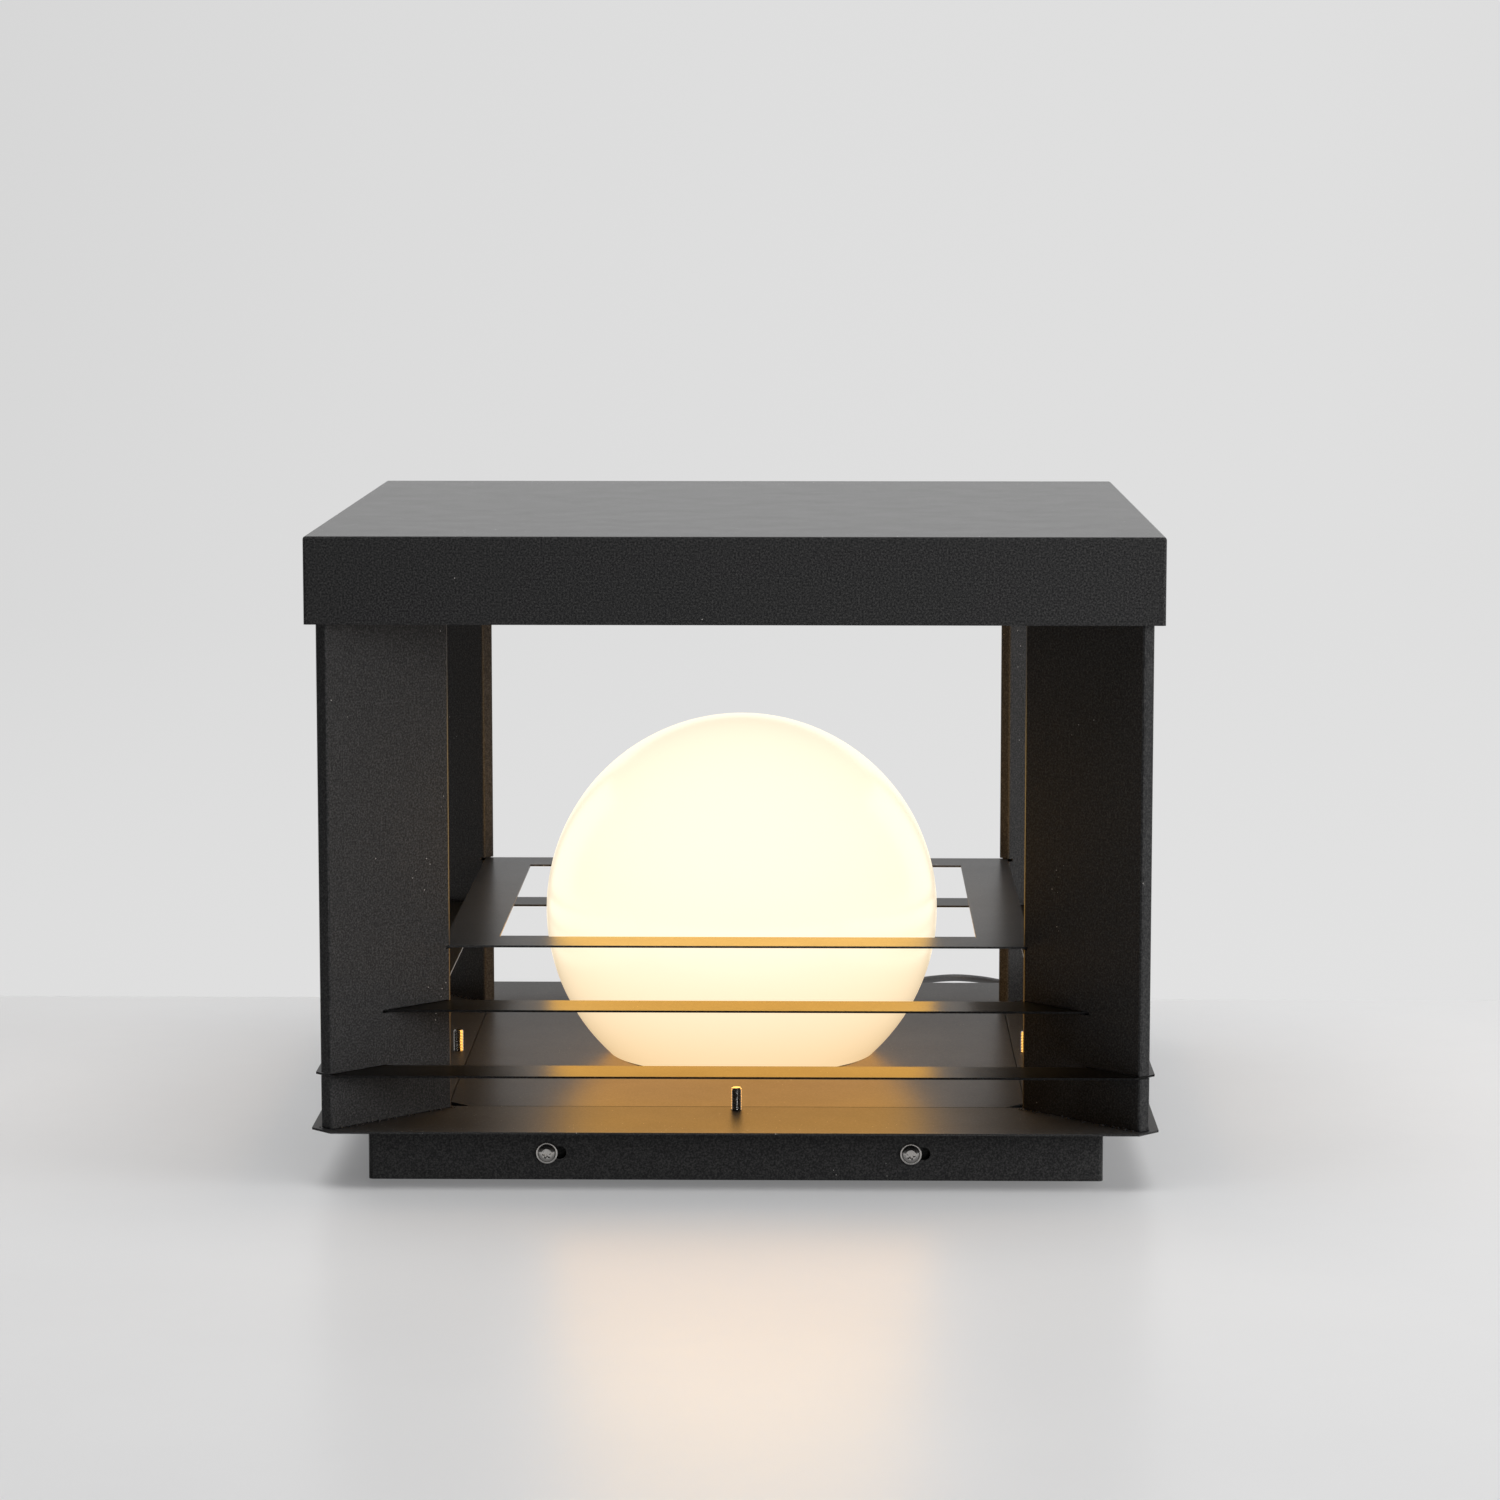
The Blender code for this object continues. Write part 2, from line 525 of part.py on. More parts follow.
def cords():
    spacing = 5.5 * CORD_RADIUS
    tube("supply_cord", smooth_points(ROUTE_OUT, spacing), CORD_RADIUS, CABLE)
    tube("cord_tail", smooth_points(ROUTE_TAIL, spacing), CORD_RADIUS, CABLE)
    tube("inner_lead", smooth_points(ROUTE_INNER, spacing), CORD_RADIUS, CABLE)
    tube("lamp_lead", smooth_points(ROUTE_LAMP, spacing), CORD_RADIUS, CABLE)
    end = Vector(ROUTE_TAIL[-1]) * MM
    run = (end - Vector(ROUTE_TAIL[-2]) * MM).normalized()
    for (name, far), material, side in zip(CORE_ENDS.items(), (BROWN, BLUE, GREEN), (-1, 0, 1)):
        across = Vector((-run.y, run.x, 0)) * -side * CORE_PITCH
        start = end + run * GAP * 1.5 + across + Vector((0, 0, -0.5 * MM if side == 0 else 0.4 * MM))
        far_end = Vector(far) * MM
        tube(name, [start.lerp(far_end, share) for share in (0, 0.35, 0.7, 1)], CORE_RADIUS, material)


# ---- cage ----

def base_ring_plate():
    """Thin square plate with cropped corners; its opening passes over the globe."""
    plate = slab("base_ring_plate", RING_PLATE_HALF, PLATE_BOTTOM, PLATE_TOP, BLACK, CORNER_CUT, 1)
    cuts = [slab_cutter(OPENING_HALF, OPENING_HALF, 0, 2 * FOOT_TOP)]
    cuts += [rod_cutter(2.9 * MM, 0, 2 * FOOT_TOP, around(angle, BOLT_AT)) for angle in SIDES.values()]
    return combine(plate, cuts)


def louvre_rings():
    """Flat square frames that step inwards from the lowest to the highest."""
    for name, half in RING_HALVES.items():
        top = RING_TOPS[name]
        corner = CORNER_CUT if name == "lower" else 0
        ring = slab(f"louvre_ring_{name}", half, top - SHEET, top, BLACK, corner, 1)
        combine(ring, [slab_cutter(half - RING_STRIP, half - RING_STRIP, 0, ROOF_TOP)])


def posts():
    """Flat folded tubes set on the diagonals, slotted where the rings pass through them."""
    root2 = math.sqrt(2)
    middle = (POST_INNER + POST_OUTER) / root2
    half_width = (POST_OUTER - POST_INNER) / root2
    for name, angle in CORNERS.items():
        turn = Matrix.Rotation(math.radians(angle), 4, "Z")
        mesh = slab_mesh(half_width, POST_THICK / 2, ON_PLATE, POST_TOP, BEND, 2)
        post = place(mesh, f"post_{name}", PARTS, BLACK)
        post.matrix_world = Matrix.Translation(around(angle, middle)) @ turn
        cuts = [slab_cutter(half_width - SHEET, POST_THICK / 2 - SHEET, 0, ROOF_TOP, around(angle, middle),
                            turn)]
        for ring, half in RING_HALVES.items():
            inner = max(half - RING_STRIP - GAP - POST_THICK / 2 / root2, POST_INNER - POST_THICK) * root2
            outer = (half + GAP if ring != "lower" else half + POST_THICK) * root2
            cuts.append(slab_cutter((outer - inner) / 2, POST_THICK, RING_TOPS[ring] - SHEET - GAP,
                                    RING_TOPS[ring] + GAP, around(angle, (outer + inner) / 2), turn))
        combine(post, cuts)


def roof_frame():
    """Flat frame on the posts' upper ends, drawn up to the roof by four screws."""
    frame = slab("roof_frame", FRAME_HALF, FRAME_TOP - SHEET, FRAME_TOP, BLACK, FRAME_CUT, 1)
    cuts = [slab_cutter(FRAME_OPENING, FRAME_OPENING, 0, 2 * ROOF_TOP)]
    cuts += [rod_cutter(2.3 * MM, 0, 2 * ROOF_TOP, around(angle, ROOF_BOSS_AT)) for angle in SIDES.values()]
    combine(frame, cuts)
    mesh = small_screw_mesh(2 * MM, 2.2 * MM, 4.6 * MM)
    for side, angle in SIDES.items():
        screw = place(mesh, f"roof_screw_{side}", PARTS)
        at = Matrix.Translation(around(angle, ROOF_BOSS_AT, POST_TOP))
        screw.matrix_world = at @ Matrix.Rotation(math.pi, 4, "X")
    return frame


def roof_cap():
    """Shallow folded lid, open below, with four threaded bosses under its top sheet."""
    work = bmesh.new()
    bmesh.ops.create_cube(work, size=1)
    bmesh.ops.scale(work, vec=(2 * ROOF_HALF, 2 * ROOF_HALF, ROOF_SKIRT), verts=work.verts)
    bmesh.ops.translate(work, vec=(0, 0, ROOF_TOP - ROOF_SKIRT / 2), verts=work.verts)
    folds = [e for e in work.edges if max(v.co.z for v in e.verts) > ROOF_TOP - ROOF_SKIRT / 2]
    bmesh.ops.bevel(work, geom=folds, offset=BEND, segments=2, profile=0.5, affect="EDGES")
    mesh = bpy.data.meshes.new("roof_cap")
    work.to_mesh(mesh)
    work.free()
    roof = place(mesh, "roof_cap", PARTS, BLACK)
    inner = ROOF_HALF - SHEET
    combine(roof, [slab_cutter(inner, inner, 0, ROOF_TOP - SHEET)])
    boss_bottom = FRAME_TOP + GAP
    for angle in SIDES.values():
        boss = rod_cutter(ROOF_BOSS_RADIUS, boss_bottom, ROOF_TOP - SHEET / 2, around(angle, ROOF_BOSS_AT))
        bore = rod_cutter(2.3 * MM, 0, ROOF_TOP - 1.5 * SHEET, around(angle, ROOF_BOSS_AT))
        combine(roof, [boss], "UNION")
        combine(roof, [bore])
    return roof


def build():
    foot_skirt()
    mount_tray()
    side_screws()
    lamp_plate()
    cage_bolts()
    lampholder()
    globe_collar()
    globe()
    bulb()
    terminal_block()
    cord_clamp()
    strain_relief()
    coil_and_tie()
    cords()
    base_ring_plate()
    louvre_rings()
    posts()
    roof_frame()
    roof_cap()


build()
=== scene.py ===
"""Looks of the pillar lantern: powder-coated sheet-metal cage, lit opal globe, stainless fasteners and the
cord, on a pale semi-gloss table in soft studio light. Metres, +Z up, front towards -Y."""
import json
import math
import random

import bmesh
import bpy
from mathutils import Matrix, Vector

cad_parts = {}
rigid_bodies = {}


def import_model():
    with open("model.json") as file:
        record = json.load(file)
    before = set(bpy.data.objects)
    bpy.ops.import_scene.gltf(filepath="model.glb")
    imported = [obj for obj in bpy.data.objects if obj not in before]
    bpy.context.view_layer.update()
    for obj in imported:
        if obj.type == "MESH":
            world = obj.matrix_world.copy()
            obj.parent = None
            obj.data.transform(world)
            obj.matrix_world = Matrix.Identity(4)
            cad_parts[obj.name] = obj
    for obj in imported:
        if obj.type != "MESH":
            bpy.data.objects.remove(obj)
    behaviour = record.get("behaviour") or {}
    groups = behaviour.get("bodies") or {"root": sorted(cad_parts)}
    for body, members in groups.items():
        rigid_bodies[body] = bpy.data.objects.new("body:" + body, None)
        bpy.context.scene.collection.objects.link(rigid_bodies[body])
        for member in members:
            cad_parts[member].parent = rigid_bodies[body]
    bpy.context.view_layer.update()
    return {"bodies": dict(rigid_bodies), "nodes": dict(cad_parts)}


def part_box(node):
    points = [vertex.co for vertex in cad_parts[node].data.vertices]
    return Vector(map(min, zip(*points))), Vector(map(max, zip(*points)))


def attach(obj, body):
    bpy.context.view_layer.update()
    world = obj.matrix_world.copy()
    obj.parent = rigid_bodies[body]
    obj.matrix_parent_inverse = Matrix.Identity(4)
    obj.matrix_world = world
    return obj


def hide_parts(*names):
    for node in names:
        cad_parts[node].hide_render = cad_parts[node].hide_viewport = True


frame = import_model()
NODES = frame["nodes"]
BODIES = frame["bodies"]
MM = 0.001
SCENE = bpy.context.scene
LOOKS = {}                              # finishes by name, filled in main

SIDES = {"front": -90, "right": 0, "rear": 90, "left": 180}
FOOT_HALF = 0.175
TABLE_EDGE = 0.304                      # far edge of the table top
GLOBE_CENTRE = 0.103
GLOBE_RADIUS = 0.1
GLOW_SPAN = 0.03, 0.203                 # heights between which the globe's glow changes
CORD_RADIUS = 2.1 * MM
EXIT_X, EXIT_Z = 0.02, 0.013            # where the cord leaves the foot's rear face
POINT_RADIUS = 0.0005                   # of a curve's points: small, because its bounding box grows by it


# ---- camera ----

def add_camera():
    """Long lens, a little above the roof, turned slightly to the left."""
    down, left = 7.199, 0.906           # degrees
    data = bpy.data.cameras.new("camera")
    data.sensor_width = 36
    data.lens = 105.97
    data.clip_start = 0.05
    camera = bpy.data.objects.new("camera", data)
    camera.location = (0.0396, -2.2369, 0.4671)
    camera.rotation_euler = (math.radians(90 - down), 0, math.radians(left))
    SCENE.collection.objects.link(camera)
    SCENE.camera = camera


# ---- mesh helpers ----

def new_object(name, data, body=None, slot=None, replaces=(), smooth=None):
    """Links an object, and dresses it at once if it has a body."""
    obj = bpy.data.objects.new(name, data)
    SCENE.collection.objects.link(obj)
    if smooth is not None:
        smooth_by_angle(data, smooth)
    if body:
        dress(obj, body, slot, replaces)
    return obj


def dress(obj, body, slot, replaces=()):
    """Rides a placed object on its body, hides the CAD nodes that it stands for and gives it its finish."""
    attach(obj, body)
    if replaces:
        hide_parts(*replaces)
    if slot:
        obj.data.materials.clear()
        obj.data.materials.append(LOOKS[slot])


def measured(name):
    """Lower corner, upper corner and middle of a CAD node."""
    low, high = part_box(name)
    return low, high, (low + high) / 2


def nodes_called(prefix):
    return [name for name in NODES if name.startswith(prefix)]


def smooth_by_angle(mesh, degrees):
    """Smooth faces, with the edges above an angle kept sharp."""
    work = bmesh.new()
    work.from_mesh(mesh)
    for face in work.faces:
        face.smooth = True
    for edge in work.edges:
        if len(edge.link_faces) == 2 and edge.calc_face_angle(0) > math.radians(degrees):
            edge.smooth = False
    work.to_mesh(mesh)
    work.free()


def mesh_of(verts, faces):
    mesh = bpy.data.meshes.new("mesh")
    mesh.from_pydata([tuple(v) for v in verts], [], faces)
    mesh.validate()
    return mesh


def on_circle(radius, i, steps, height):
    """Point i of a number of even steps round Z."""
    return radius * math.cos(math.tau * i / steps), radius * math.sin(math.tau * i / steps), height


def lathe(profile, steps, closed=False):
    """Verts and faces of a body of revolution about Z; the profile runs down its outer side."""
    verts, faces, rings = [], [], []
    for radius, height in profile:
        if radius < 1e-7:
            rings.append([len(verts)])
            verts.append((0, 0, height))
        else:
            rings.append(list(range(len(verts), len(verts) + steps)))
            verts += [on_circle(radius, i, steps, height) for i in range(steps)]
    pairs = list(zip(rings, rings[1:])) + ([(rings[-1], rings[0])] if closed else [])
    for upper, lower in pairs:
        for i in range(steps):
            j = (i + 1) % steps
            loop = [lower[i % len(lower)], lower[j % len(lower)],
                    upper[j % len(upper)], upper[i % len(upper)]]
            loop = [v for k, v in enumerate(loop) if v not in loop[:k]]
            if len(loop) > 2:
                faces.append(loop)
    return verts, faces


def arc(centre_z, radius, start, end, steps):
    """Points (x, z) of a circle arc, angles in degrees from the top."""
    angles = [math.radians(start + (end - start) * i / steps) for i in range(steps + 1)]
    return [(radius * math.sin(a), centre_z + radius * math.cos(a)) for a in angles]


def joined(parts):
    """Verts and faces of several (verts, faces, matrix) together."""
    verts, faces = [], []
    for part_verts, part_faces, matrix in parts:
        start = len(verts)
        verts += [matrix @ Vector(v) for v in part_verts]
        faces += [[start + i for i in face] for face in part_faces]
    return verts, faces


def towards(angle):
    """Turns +Z to the horizontal direction at an angle from +X."""
    return Matrix.Rotation(math.radians(angle), 4, "Z") @ Matrix(
        ((0, 0, 1, 0), (1, 0, 0, 0), (0, 1, 0, 0), (0, 0, 0, 1)))


def smooth_points(route, spacing):
    """Points at an even spacing on a smooth curve through the route's points."""
    knots = [Vector(p) for p in route]
    ends = [2 * knots[0] - knots[1]] + knots + [2 * knots[-1] - knots[-2]]
    dense = []
    fine = 24                           # samples between two route points
    for p0, p1, p2, p3 in zip(ends, ends[1:], ends[2:], ends[3:]):
        for i in range(fine):
            t = i / fine
            dense.append(0.5 * (2 * p1 + (p2 - p0) * t + (2 * p0 - 5 * p1 + 4 * p2 - p3) * t ** 2
                                + (3 * p1 - p0 - 3 * p2 + p3) * t ** 3))
    dense.append(knots[-1])
    lengths = [0.0]
    for a, b in zip(dense, dense[1:]):
        lengths.append(lengths[-1] + (b - a).length)
    count = max(2, round(lengths[-1] / spacing))
    points, i = [], 0
    for step in range(count + 1):
        target = lengths[-1] * step / count
        while i < len(dense) - 2 and lengths[i + 1] < target:
            i += 1
        share = (target - lengths[i]) / max(lengths[i + 1] - lengths[i], 1e-12)
        points.append(dense[i].lerp(dense[i + 1], min(share, 1.0)))
    return points


def tube(name, points, radius, body, slot, replaces=(), sides=3):
    """Round tube with closed ends along the points."""
    curve = bpy.data.curves.new(name, "CURVE")
    curve.dimensions = "3D"
    curve.bevel_depth = radius / POINT_RADIUS
    curve.bevel_resolution = sides
    curve.use_fill_caps = True
    spline = curve.splines.new("POLY")
    spline.points.add(len(points) - 1)
    for knot, point in zip(spline.points, points):
        knot.co = (*point, 1)
        knot.radius = POINT_RADIUS
    spline.use_smooth = True
    return new_object(name, curve, body, slot, replaces)


# ---- material helpers ----

class Nodes:
    """A new material, with short calls for the nodes that the finishes share. The sockets are those of its
    shader, with an underscore for each space."""

    def __init__(self, name, **sockets):
        self.material = bpy.data.materials.new(name)
        self.material.use_nodes = True
        self.tree = self.material.node_tree
        self.shader = self.tree.nodes["Principled BSDF"]
        for socket, value in sockets.items():
            self.shader.inputs[socket.replace("_", " ")].default_value = value
        self.place = self.tree.nodes.new("ShaderNodeTexCoord").outputs["Object"]

    def node(self, kind, out=0, links=(), **settings):
        """A node; links are (socket, source or constant), settings are its properties."""
        made = self.tree.nodes.new(kind)
        for key, value in settings.items():
            setattr(made, key, value)
        for socket, source in links:
            if isinstance(source, bpy.types.NodeSocket):
                self.tree.links.new(source, made.inputs[socket])
            else:
                made.inputs[socket].default_value = source
        return made.outputs[out]

    def noise(self, scale, detail=2.0, rough=0.5, vector=None):
        return self.node("ShaderNodeTexNoise", "Fac", [
            ("Vector", vector or self.place), ("Scale", scale), ("Detail", detail), ("Roughness", rough)])

    def voronoi(self, scale, out):
        return self.node("ShaderNodeTexVoronoi", out, [("Vector", self.place), ("Scale", scale)])

    def along(self, axis, low, high):
        """0 to 1 between two places on an axis of the object."""
        return self.spread(self.node("ShaderNodeSeparateXYZ", axis, [(0, self.place)]), 0.0, 1.0, low, high)

    def math(self, operation, *values):
        return self.node("ShaderNodeMath", 0, list(enumerate(values)), operation=operation)

    def ramp(self, factor, stops):
        made = self.tree.nodes.new("ShaderNodeValToRGB")
        elements = made.color_ramp.elements
        while len(elements) < len(stops):
            elements.new(0.5)
        for element, (place, colour) in zip(elements, stops):
            element.position = place
            element.color = (*colour, 1)
        self.tree.links.new(factor, made.inputs["Fac"])
        return made.outputs["Color"]

    def spread(self, factor, low, high, from_low=0.0, from_high=1.0):
        return self.node("ShaderNodeMapRange", 0,
                         [(0, factor), (1, from_low), (2, from_high), (3, low), (4, high)])

    def mix(self, factor, first, second):
        return self.node("ShaderNodeMix", 2, [(0, factor), (6, first), (7, second)], data_type="RGBA")

    def stretched(self, scale):
        return self.node("ShaderNodeMapping", 0, [("Vector", self.place), ("Scale", scale)])

    def to(self, socket, source):
        self.tree.links.new(source, self.shader.inputs[socket])

    def bump(self, height, strength, distance, under=None):
        links = [("Height", height), ("Strength", strength), ("Distance", distance)]
        if under:
            links.append(("Normal", under))
        return self.node("ShaderNodeBump", 0, links)


def grey(value):
    return (value, value, value)


def powder_coat(name, rough=0.33, gloss=0.08, dust=0.64):
    """Fine-sand black powder coat: grain in the bump and the tone, and the odd pale speck of dust."""
    look = Nodes(name, Roughness=rough, Specular_IOR_Level=gloss)
    grain = look.noise(1150, 2.5, 0.6)
    patches = look.noise(45, 3, 0.55)
    base = look.ramp(grain, [(0.36, (0.0095, 0.0095, 0.0099)), (0.5, (0.0175, 0.0175, 0.0178)),
                             (0.66, (0.033, 0.0325, 0.032))])
    speck = look.math("LESS_THAN", look.voronoi(260.0, "Distance"), 0.07)
    dusty = look.math("GREATER_THAN", look.noise(30, 2), dust)
    look.to("Base Color", look.mix(look.math("MULTIPLY", speck, dusty), base, (0.24, 0.23, 0.22, 1)))
    vary = 0.008
    look.to("Roughness", look.spread(patches, rough - vary, rough + vary, 0.3, 0.7))
    fine = look.bump(grain, 0.28, 0.08 * MM)
    look.to("Normal", look.bump(patches, 0.01, 0.3 * MM, fine))
    return look.material


def galvanised():
    """Zinc-coated sheet with soft spangle."""
    look = Nodes("galvanised_sheet", Metallic=1.0, Roughness=0.38)
    value = look.node("ShaderNodeSeparateColor", 0, [(0, look.voronoi(130.0, "Color"))])
    look.to("Base Color", look.ramp(value, [(0, (0.42, 0.43, 0.44)), (1, (0.62, 0.63, 0.64))]))
    look.to("Roughness", look.spread(value, 0.3, 0.5))
    look.to("Normal", look.bump(look.noise(500, 3), 0.15, 0.05 * MM))
    return look.material


def stainless():
    """Polished steel with faint turning marks."""
    look = Nodes("stainless_steel", Metallic=1.0, Roughness=0.2)
    marks = look.noise(1, 2, 0.6, look.stretched((900, 900, 5000)))
    look.to("Base Color", look.ramp(marks, [(0.3, (0.5, 0.48, 0.46)), (0.7, (0.68, 0.66, 0.63))]))
    look.to("Roughness", look.spread(marks, 0.14, 0.3))
    look.to("Normal", look.bump(marks, 0.12, 0.02 * MM))
    return look.material


def opal():
    """Lit opal glass: warm at the foot, almost white at the crown, glossy outside."""
    look = Nodes("opal_glass", Roughness=0.22, IOR=1.5, Base_Color=(0.36, 0.31, 0.22, 1), Coat_Weight=1.0,
                 Coat_Roughness=0.3, Coat_Tint=(1.0, 0.95, 0.8, 1), Emission_Strength=1.0)
    look.to("Emission Color", look.ramp(look.along("Z", *GLOW_SPAN), [
        (0.0, (1.06, 0.82, 0.58)), (0.07, (1.08, 0.86, 0.64)), (0.17, (1.12, 0.93, 0.75)),
        (0.29, (1.16, 1.02, 0.88)), (0.42, (1.2, 1.1, 1.02)), (0.75, (1.2, 1.14, 1.08)),
        (1.0, (1.2, 1.16, 1.12))]))
    return look.material


def plain(name, colour, rough, grain, metal=0.0, depth=0.04, vary=0.12):
    """Moulded or cast finish: slight colour and gloss variation and a fine grain, its depth in mm."""
    look = Nodes(name, Roughness=rough, Metallic=metal)
    spots = look.noise(grain, 3)
    dark = tuple(c * (1 - vary) for c in colour)
    light = tuple(min(1, c * (1 + vary)) for c in colour)
    look.to("Base Color", look.ramp(spots, [(0.3, dark), (0.7, light)]))
    look.to("Roughness", look.spread(spots, rough * 0.85, min(1, rough * 1.15), 0.3, 0.7))
    look.to("Normal", look.bump(spots, 0.2, depth * MM))
    return look.material


PLAIN_LOOKS = [         # name, colour, roughness and grain, then metal, the grain's depth and the variation
    ("bulb_glass", (0.9, 0.88, 0.82), 0.2, 150, 0.0, 0.01, 0.03),
    ("nickel_brass", (0.72, 0.66, 0.55), 0.25, 700, 1.0, 0.02, 0.08),
    ("porcelain", (0.8, 0.79, 0.74), 0.16, 120, 0.0, 0.03, 0.03),
    ("silicone", (0.68, 0.68, 0.66), 0.6, 400, 0.0, 0.04, 0.05),
    ("terminal_plastic", (0.74, 0.73, 0.68), 0.38, 500, 0.0, 0.04, 0.04),
    ("black_plastic", (0.02, 0.02, 0.021), 0.45, 900, 0.0, 0.04, 0.2),
    ("cable_sheath", (0.035, 0.035, 0.036), 0.5, 700, 0.0, 0.04, 0.2),
    ("core_brown", (0.16, 0.06, 0.02), 0.42, 900),
    ("core_blue", (0.03, 0.12, 0.45), 0.42, 900),
    ("core_green", (0.1, 0.4, 0.08), 0.42, 900),
    ("copper", (0.75, 0.33, 0.18), 0.3, 1500, 1.0)]


def make_looks():
    looks = {
        "black_powder_coat": powder_coat("powder_coat"),
        "roof": powder_coat("powder_coat_roof", 0.23),
        "strip": powder_coat("powder_coat_strip", 0.3),
        "plate": powder_coat("powder_coat_plate", 0.4, 0.11, 0.5),
        "galvanised_sheet": galvanised(),
        "stainless_steel": stainless(),
        "opal_glass": opal(),
    }
    looks.update({name: plain(name, *values) for name, *values in PLAIN_LOOKS})
    return looks


# ---- stage and light ----

def add_stage():
    """Semi-gloss table top in front of a pale backdrop that sweeps up behind it."""
    top = Nodes("table_top", Specular_IOR_Level=0.055, Emission_Color=(0.165, 0.165, 0.167, 1),
                Emission_Strength=1.0)
    top.to("Base Color", top.ramp(top.noise(6, 4), [
        (0.3, (0.575, 0.577, 0.58)), (0.7, (0.592, 0.594, 0.596))]))
    top.to("Roughness", top.spread(top.noise(60, 3), 0.27, 0.33))
    side, near = 2.5, -2.6
    table = new_object("table_top", mesh_of(
        [(-side, near, 0), (side, near, 0), (side, TABLE_EDGE, 0), (-side, TABLE_EDGE, 0)], [[0, 1, 2, 3]]))
    table.data.materials.append(top.material)

    radius, start, height, half, bends = 1.1, 2.4, 5.0, 6.0, 20
    sweep = [(TABLE_EDGE, 0.0), (start, 0.0)]
    for i in range(1, bends + 1):
        angle = math.radians(90 / bends * i)
        sweep.append((start + radius * math.sin(angle), radius * (1 - math.cos(angle))))
    sweep.append((start + radius, height))
    verts = [(x, y, z) for y, z in sweep for x in (-half, half)]
    faces = [[2 * i, 2 * i + 1, 2 * i + 3, 2 * i + 2] for i in range(len(sweep) - 1)]
    backdrop = new_object("backdrop", mesh_of(verts, faces), smooth=30)
    wall = Nodes("backdrop", Roughness=0.9, Specular_IOR_Level=0.0, Base_Color=(*grey(0.04), 1),
                 Emission_Strength=1.0)
    reach = 1.06                        # the part of the wall that the camera sees
    # the wall's glow is painted light, darker towards the left and a little at the far right as painted shade
    wall.to("Emission Color", wall.ramp(wall.along("X", -reach, reach), [
        (0, grey(0.66)), (0.25, grey(0.695)), (0.5, grey(0.715)), (0.8, grey(0.72)), (1, grey(0.705))]))
    backdrop.data.materials.append(wall.material)

    # pale room that only the camera sees, for views from the sides and the back
    far = 9
    angles = [math.pi * i / 24 for i in range(1, 24)]
    room = new_object("room", mesh_of(*lathe([(far * math.sin(a), -far * math.cos(a)) for a in angles], 48)),
                      smooth=60)
    air = Nodes("room", Roughness=1.0, Specular_IOR_Level=0.0, Base_Color=(*grey(0), 1),
                Emission_Color=(*grey(0.62), 1), Emission_Strength=1.0)
    room.data.materials.append(air.material)
    room.visible_diffuse = room.visible_glossy = room.visible_transmission = room.visible_shadow = False


def area_light(name, size, watts, at, aim):
    data = bpy.data.lights.new(name, "AREA")
    data.shape = "RECTANGLE"
    data.size, data.size_y = size
    data.energy = watts
    light = bpy.data.objects.new(name, data)
    light.location = at
    light.rotation_euler = (Vector(at) - Vector(aim)).to_track_quat("Z", "Y").to_euler()
    light.visible_camera = False
    SCENE.collection.objects.link(light)
    return light


def exclude(light, *names):
    """These objects take no light from this one."""
    unlit = bpy.data.collections.new("unlit_by_" + light.name)
    for name in names:
        unlit.objects.link(bpy.data.objects[name])
    light.light_linking.receiver_collection = unlit
    for entry in unlit.collection_objects:
        entry.light_linking.link_state = "EXCLUDE"


def add_lights():
    overhead = area_light("overhead", (2.2, 2.0), 43, (-0.1, -0.15, 2.3), (-0.05, 0.0, 0))
    key = area_light("key", (1.4, 1.4), 21, (1.9, -0.5, 0.9), (0, 0, 0.1))
    front = area_light("front_fill", (1.4, 1.0), 19, (1.2, -2.8, 0.5), (0, 0, 0.2))
    side = area_light("side_glow", (0.9, 0.7), 25, (1.15, -1.05, 0.45), (0, -0.1, 0.1))
    rear = area_light("rear_fill", (1.3, 1.0), 90, (-0.2, 2.1, 0.9), (0, 0, 0.15))
    for light in (key, front, side, rear):       # diffuse light only, so that no view meets their glare
        light.visible_glossy = False
    strips = "louvre_ring_lower", "louvre_ring_middle"
    exclude(overhead, *strips)
    exclude(key, "opal_globe", *strips)
    exclude(front, "table_top", "opal_globe", "post_front_right", *strips)
    exclude(side, "table_top", "backdrop", "opal_globe", *strips)
    exclude(rear, "table_top", "backdrop", "opal_globe", *strips)
    world = bpy.data.worlds.new("studio")
    world.use_nodes = True
    world.node_tree.nodes["Background"].inputs["Color"].default_value = (*grey(0.04), 1)
    world.node_tree.nodes["Background"].inputs["Strength"].default_value = 1.0
    SCENE.world = world


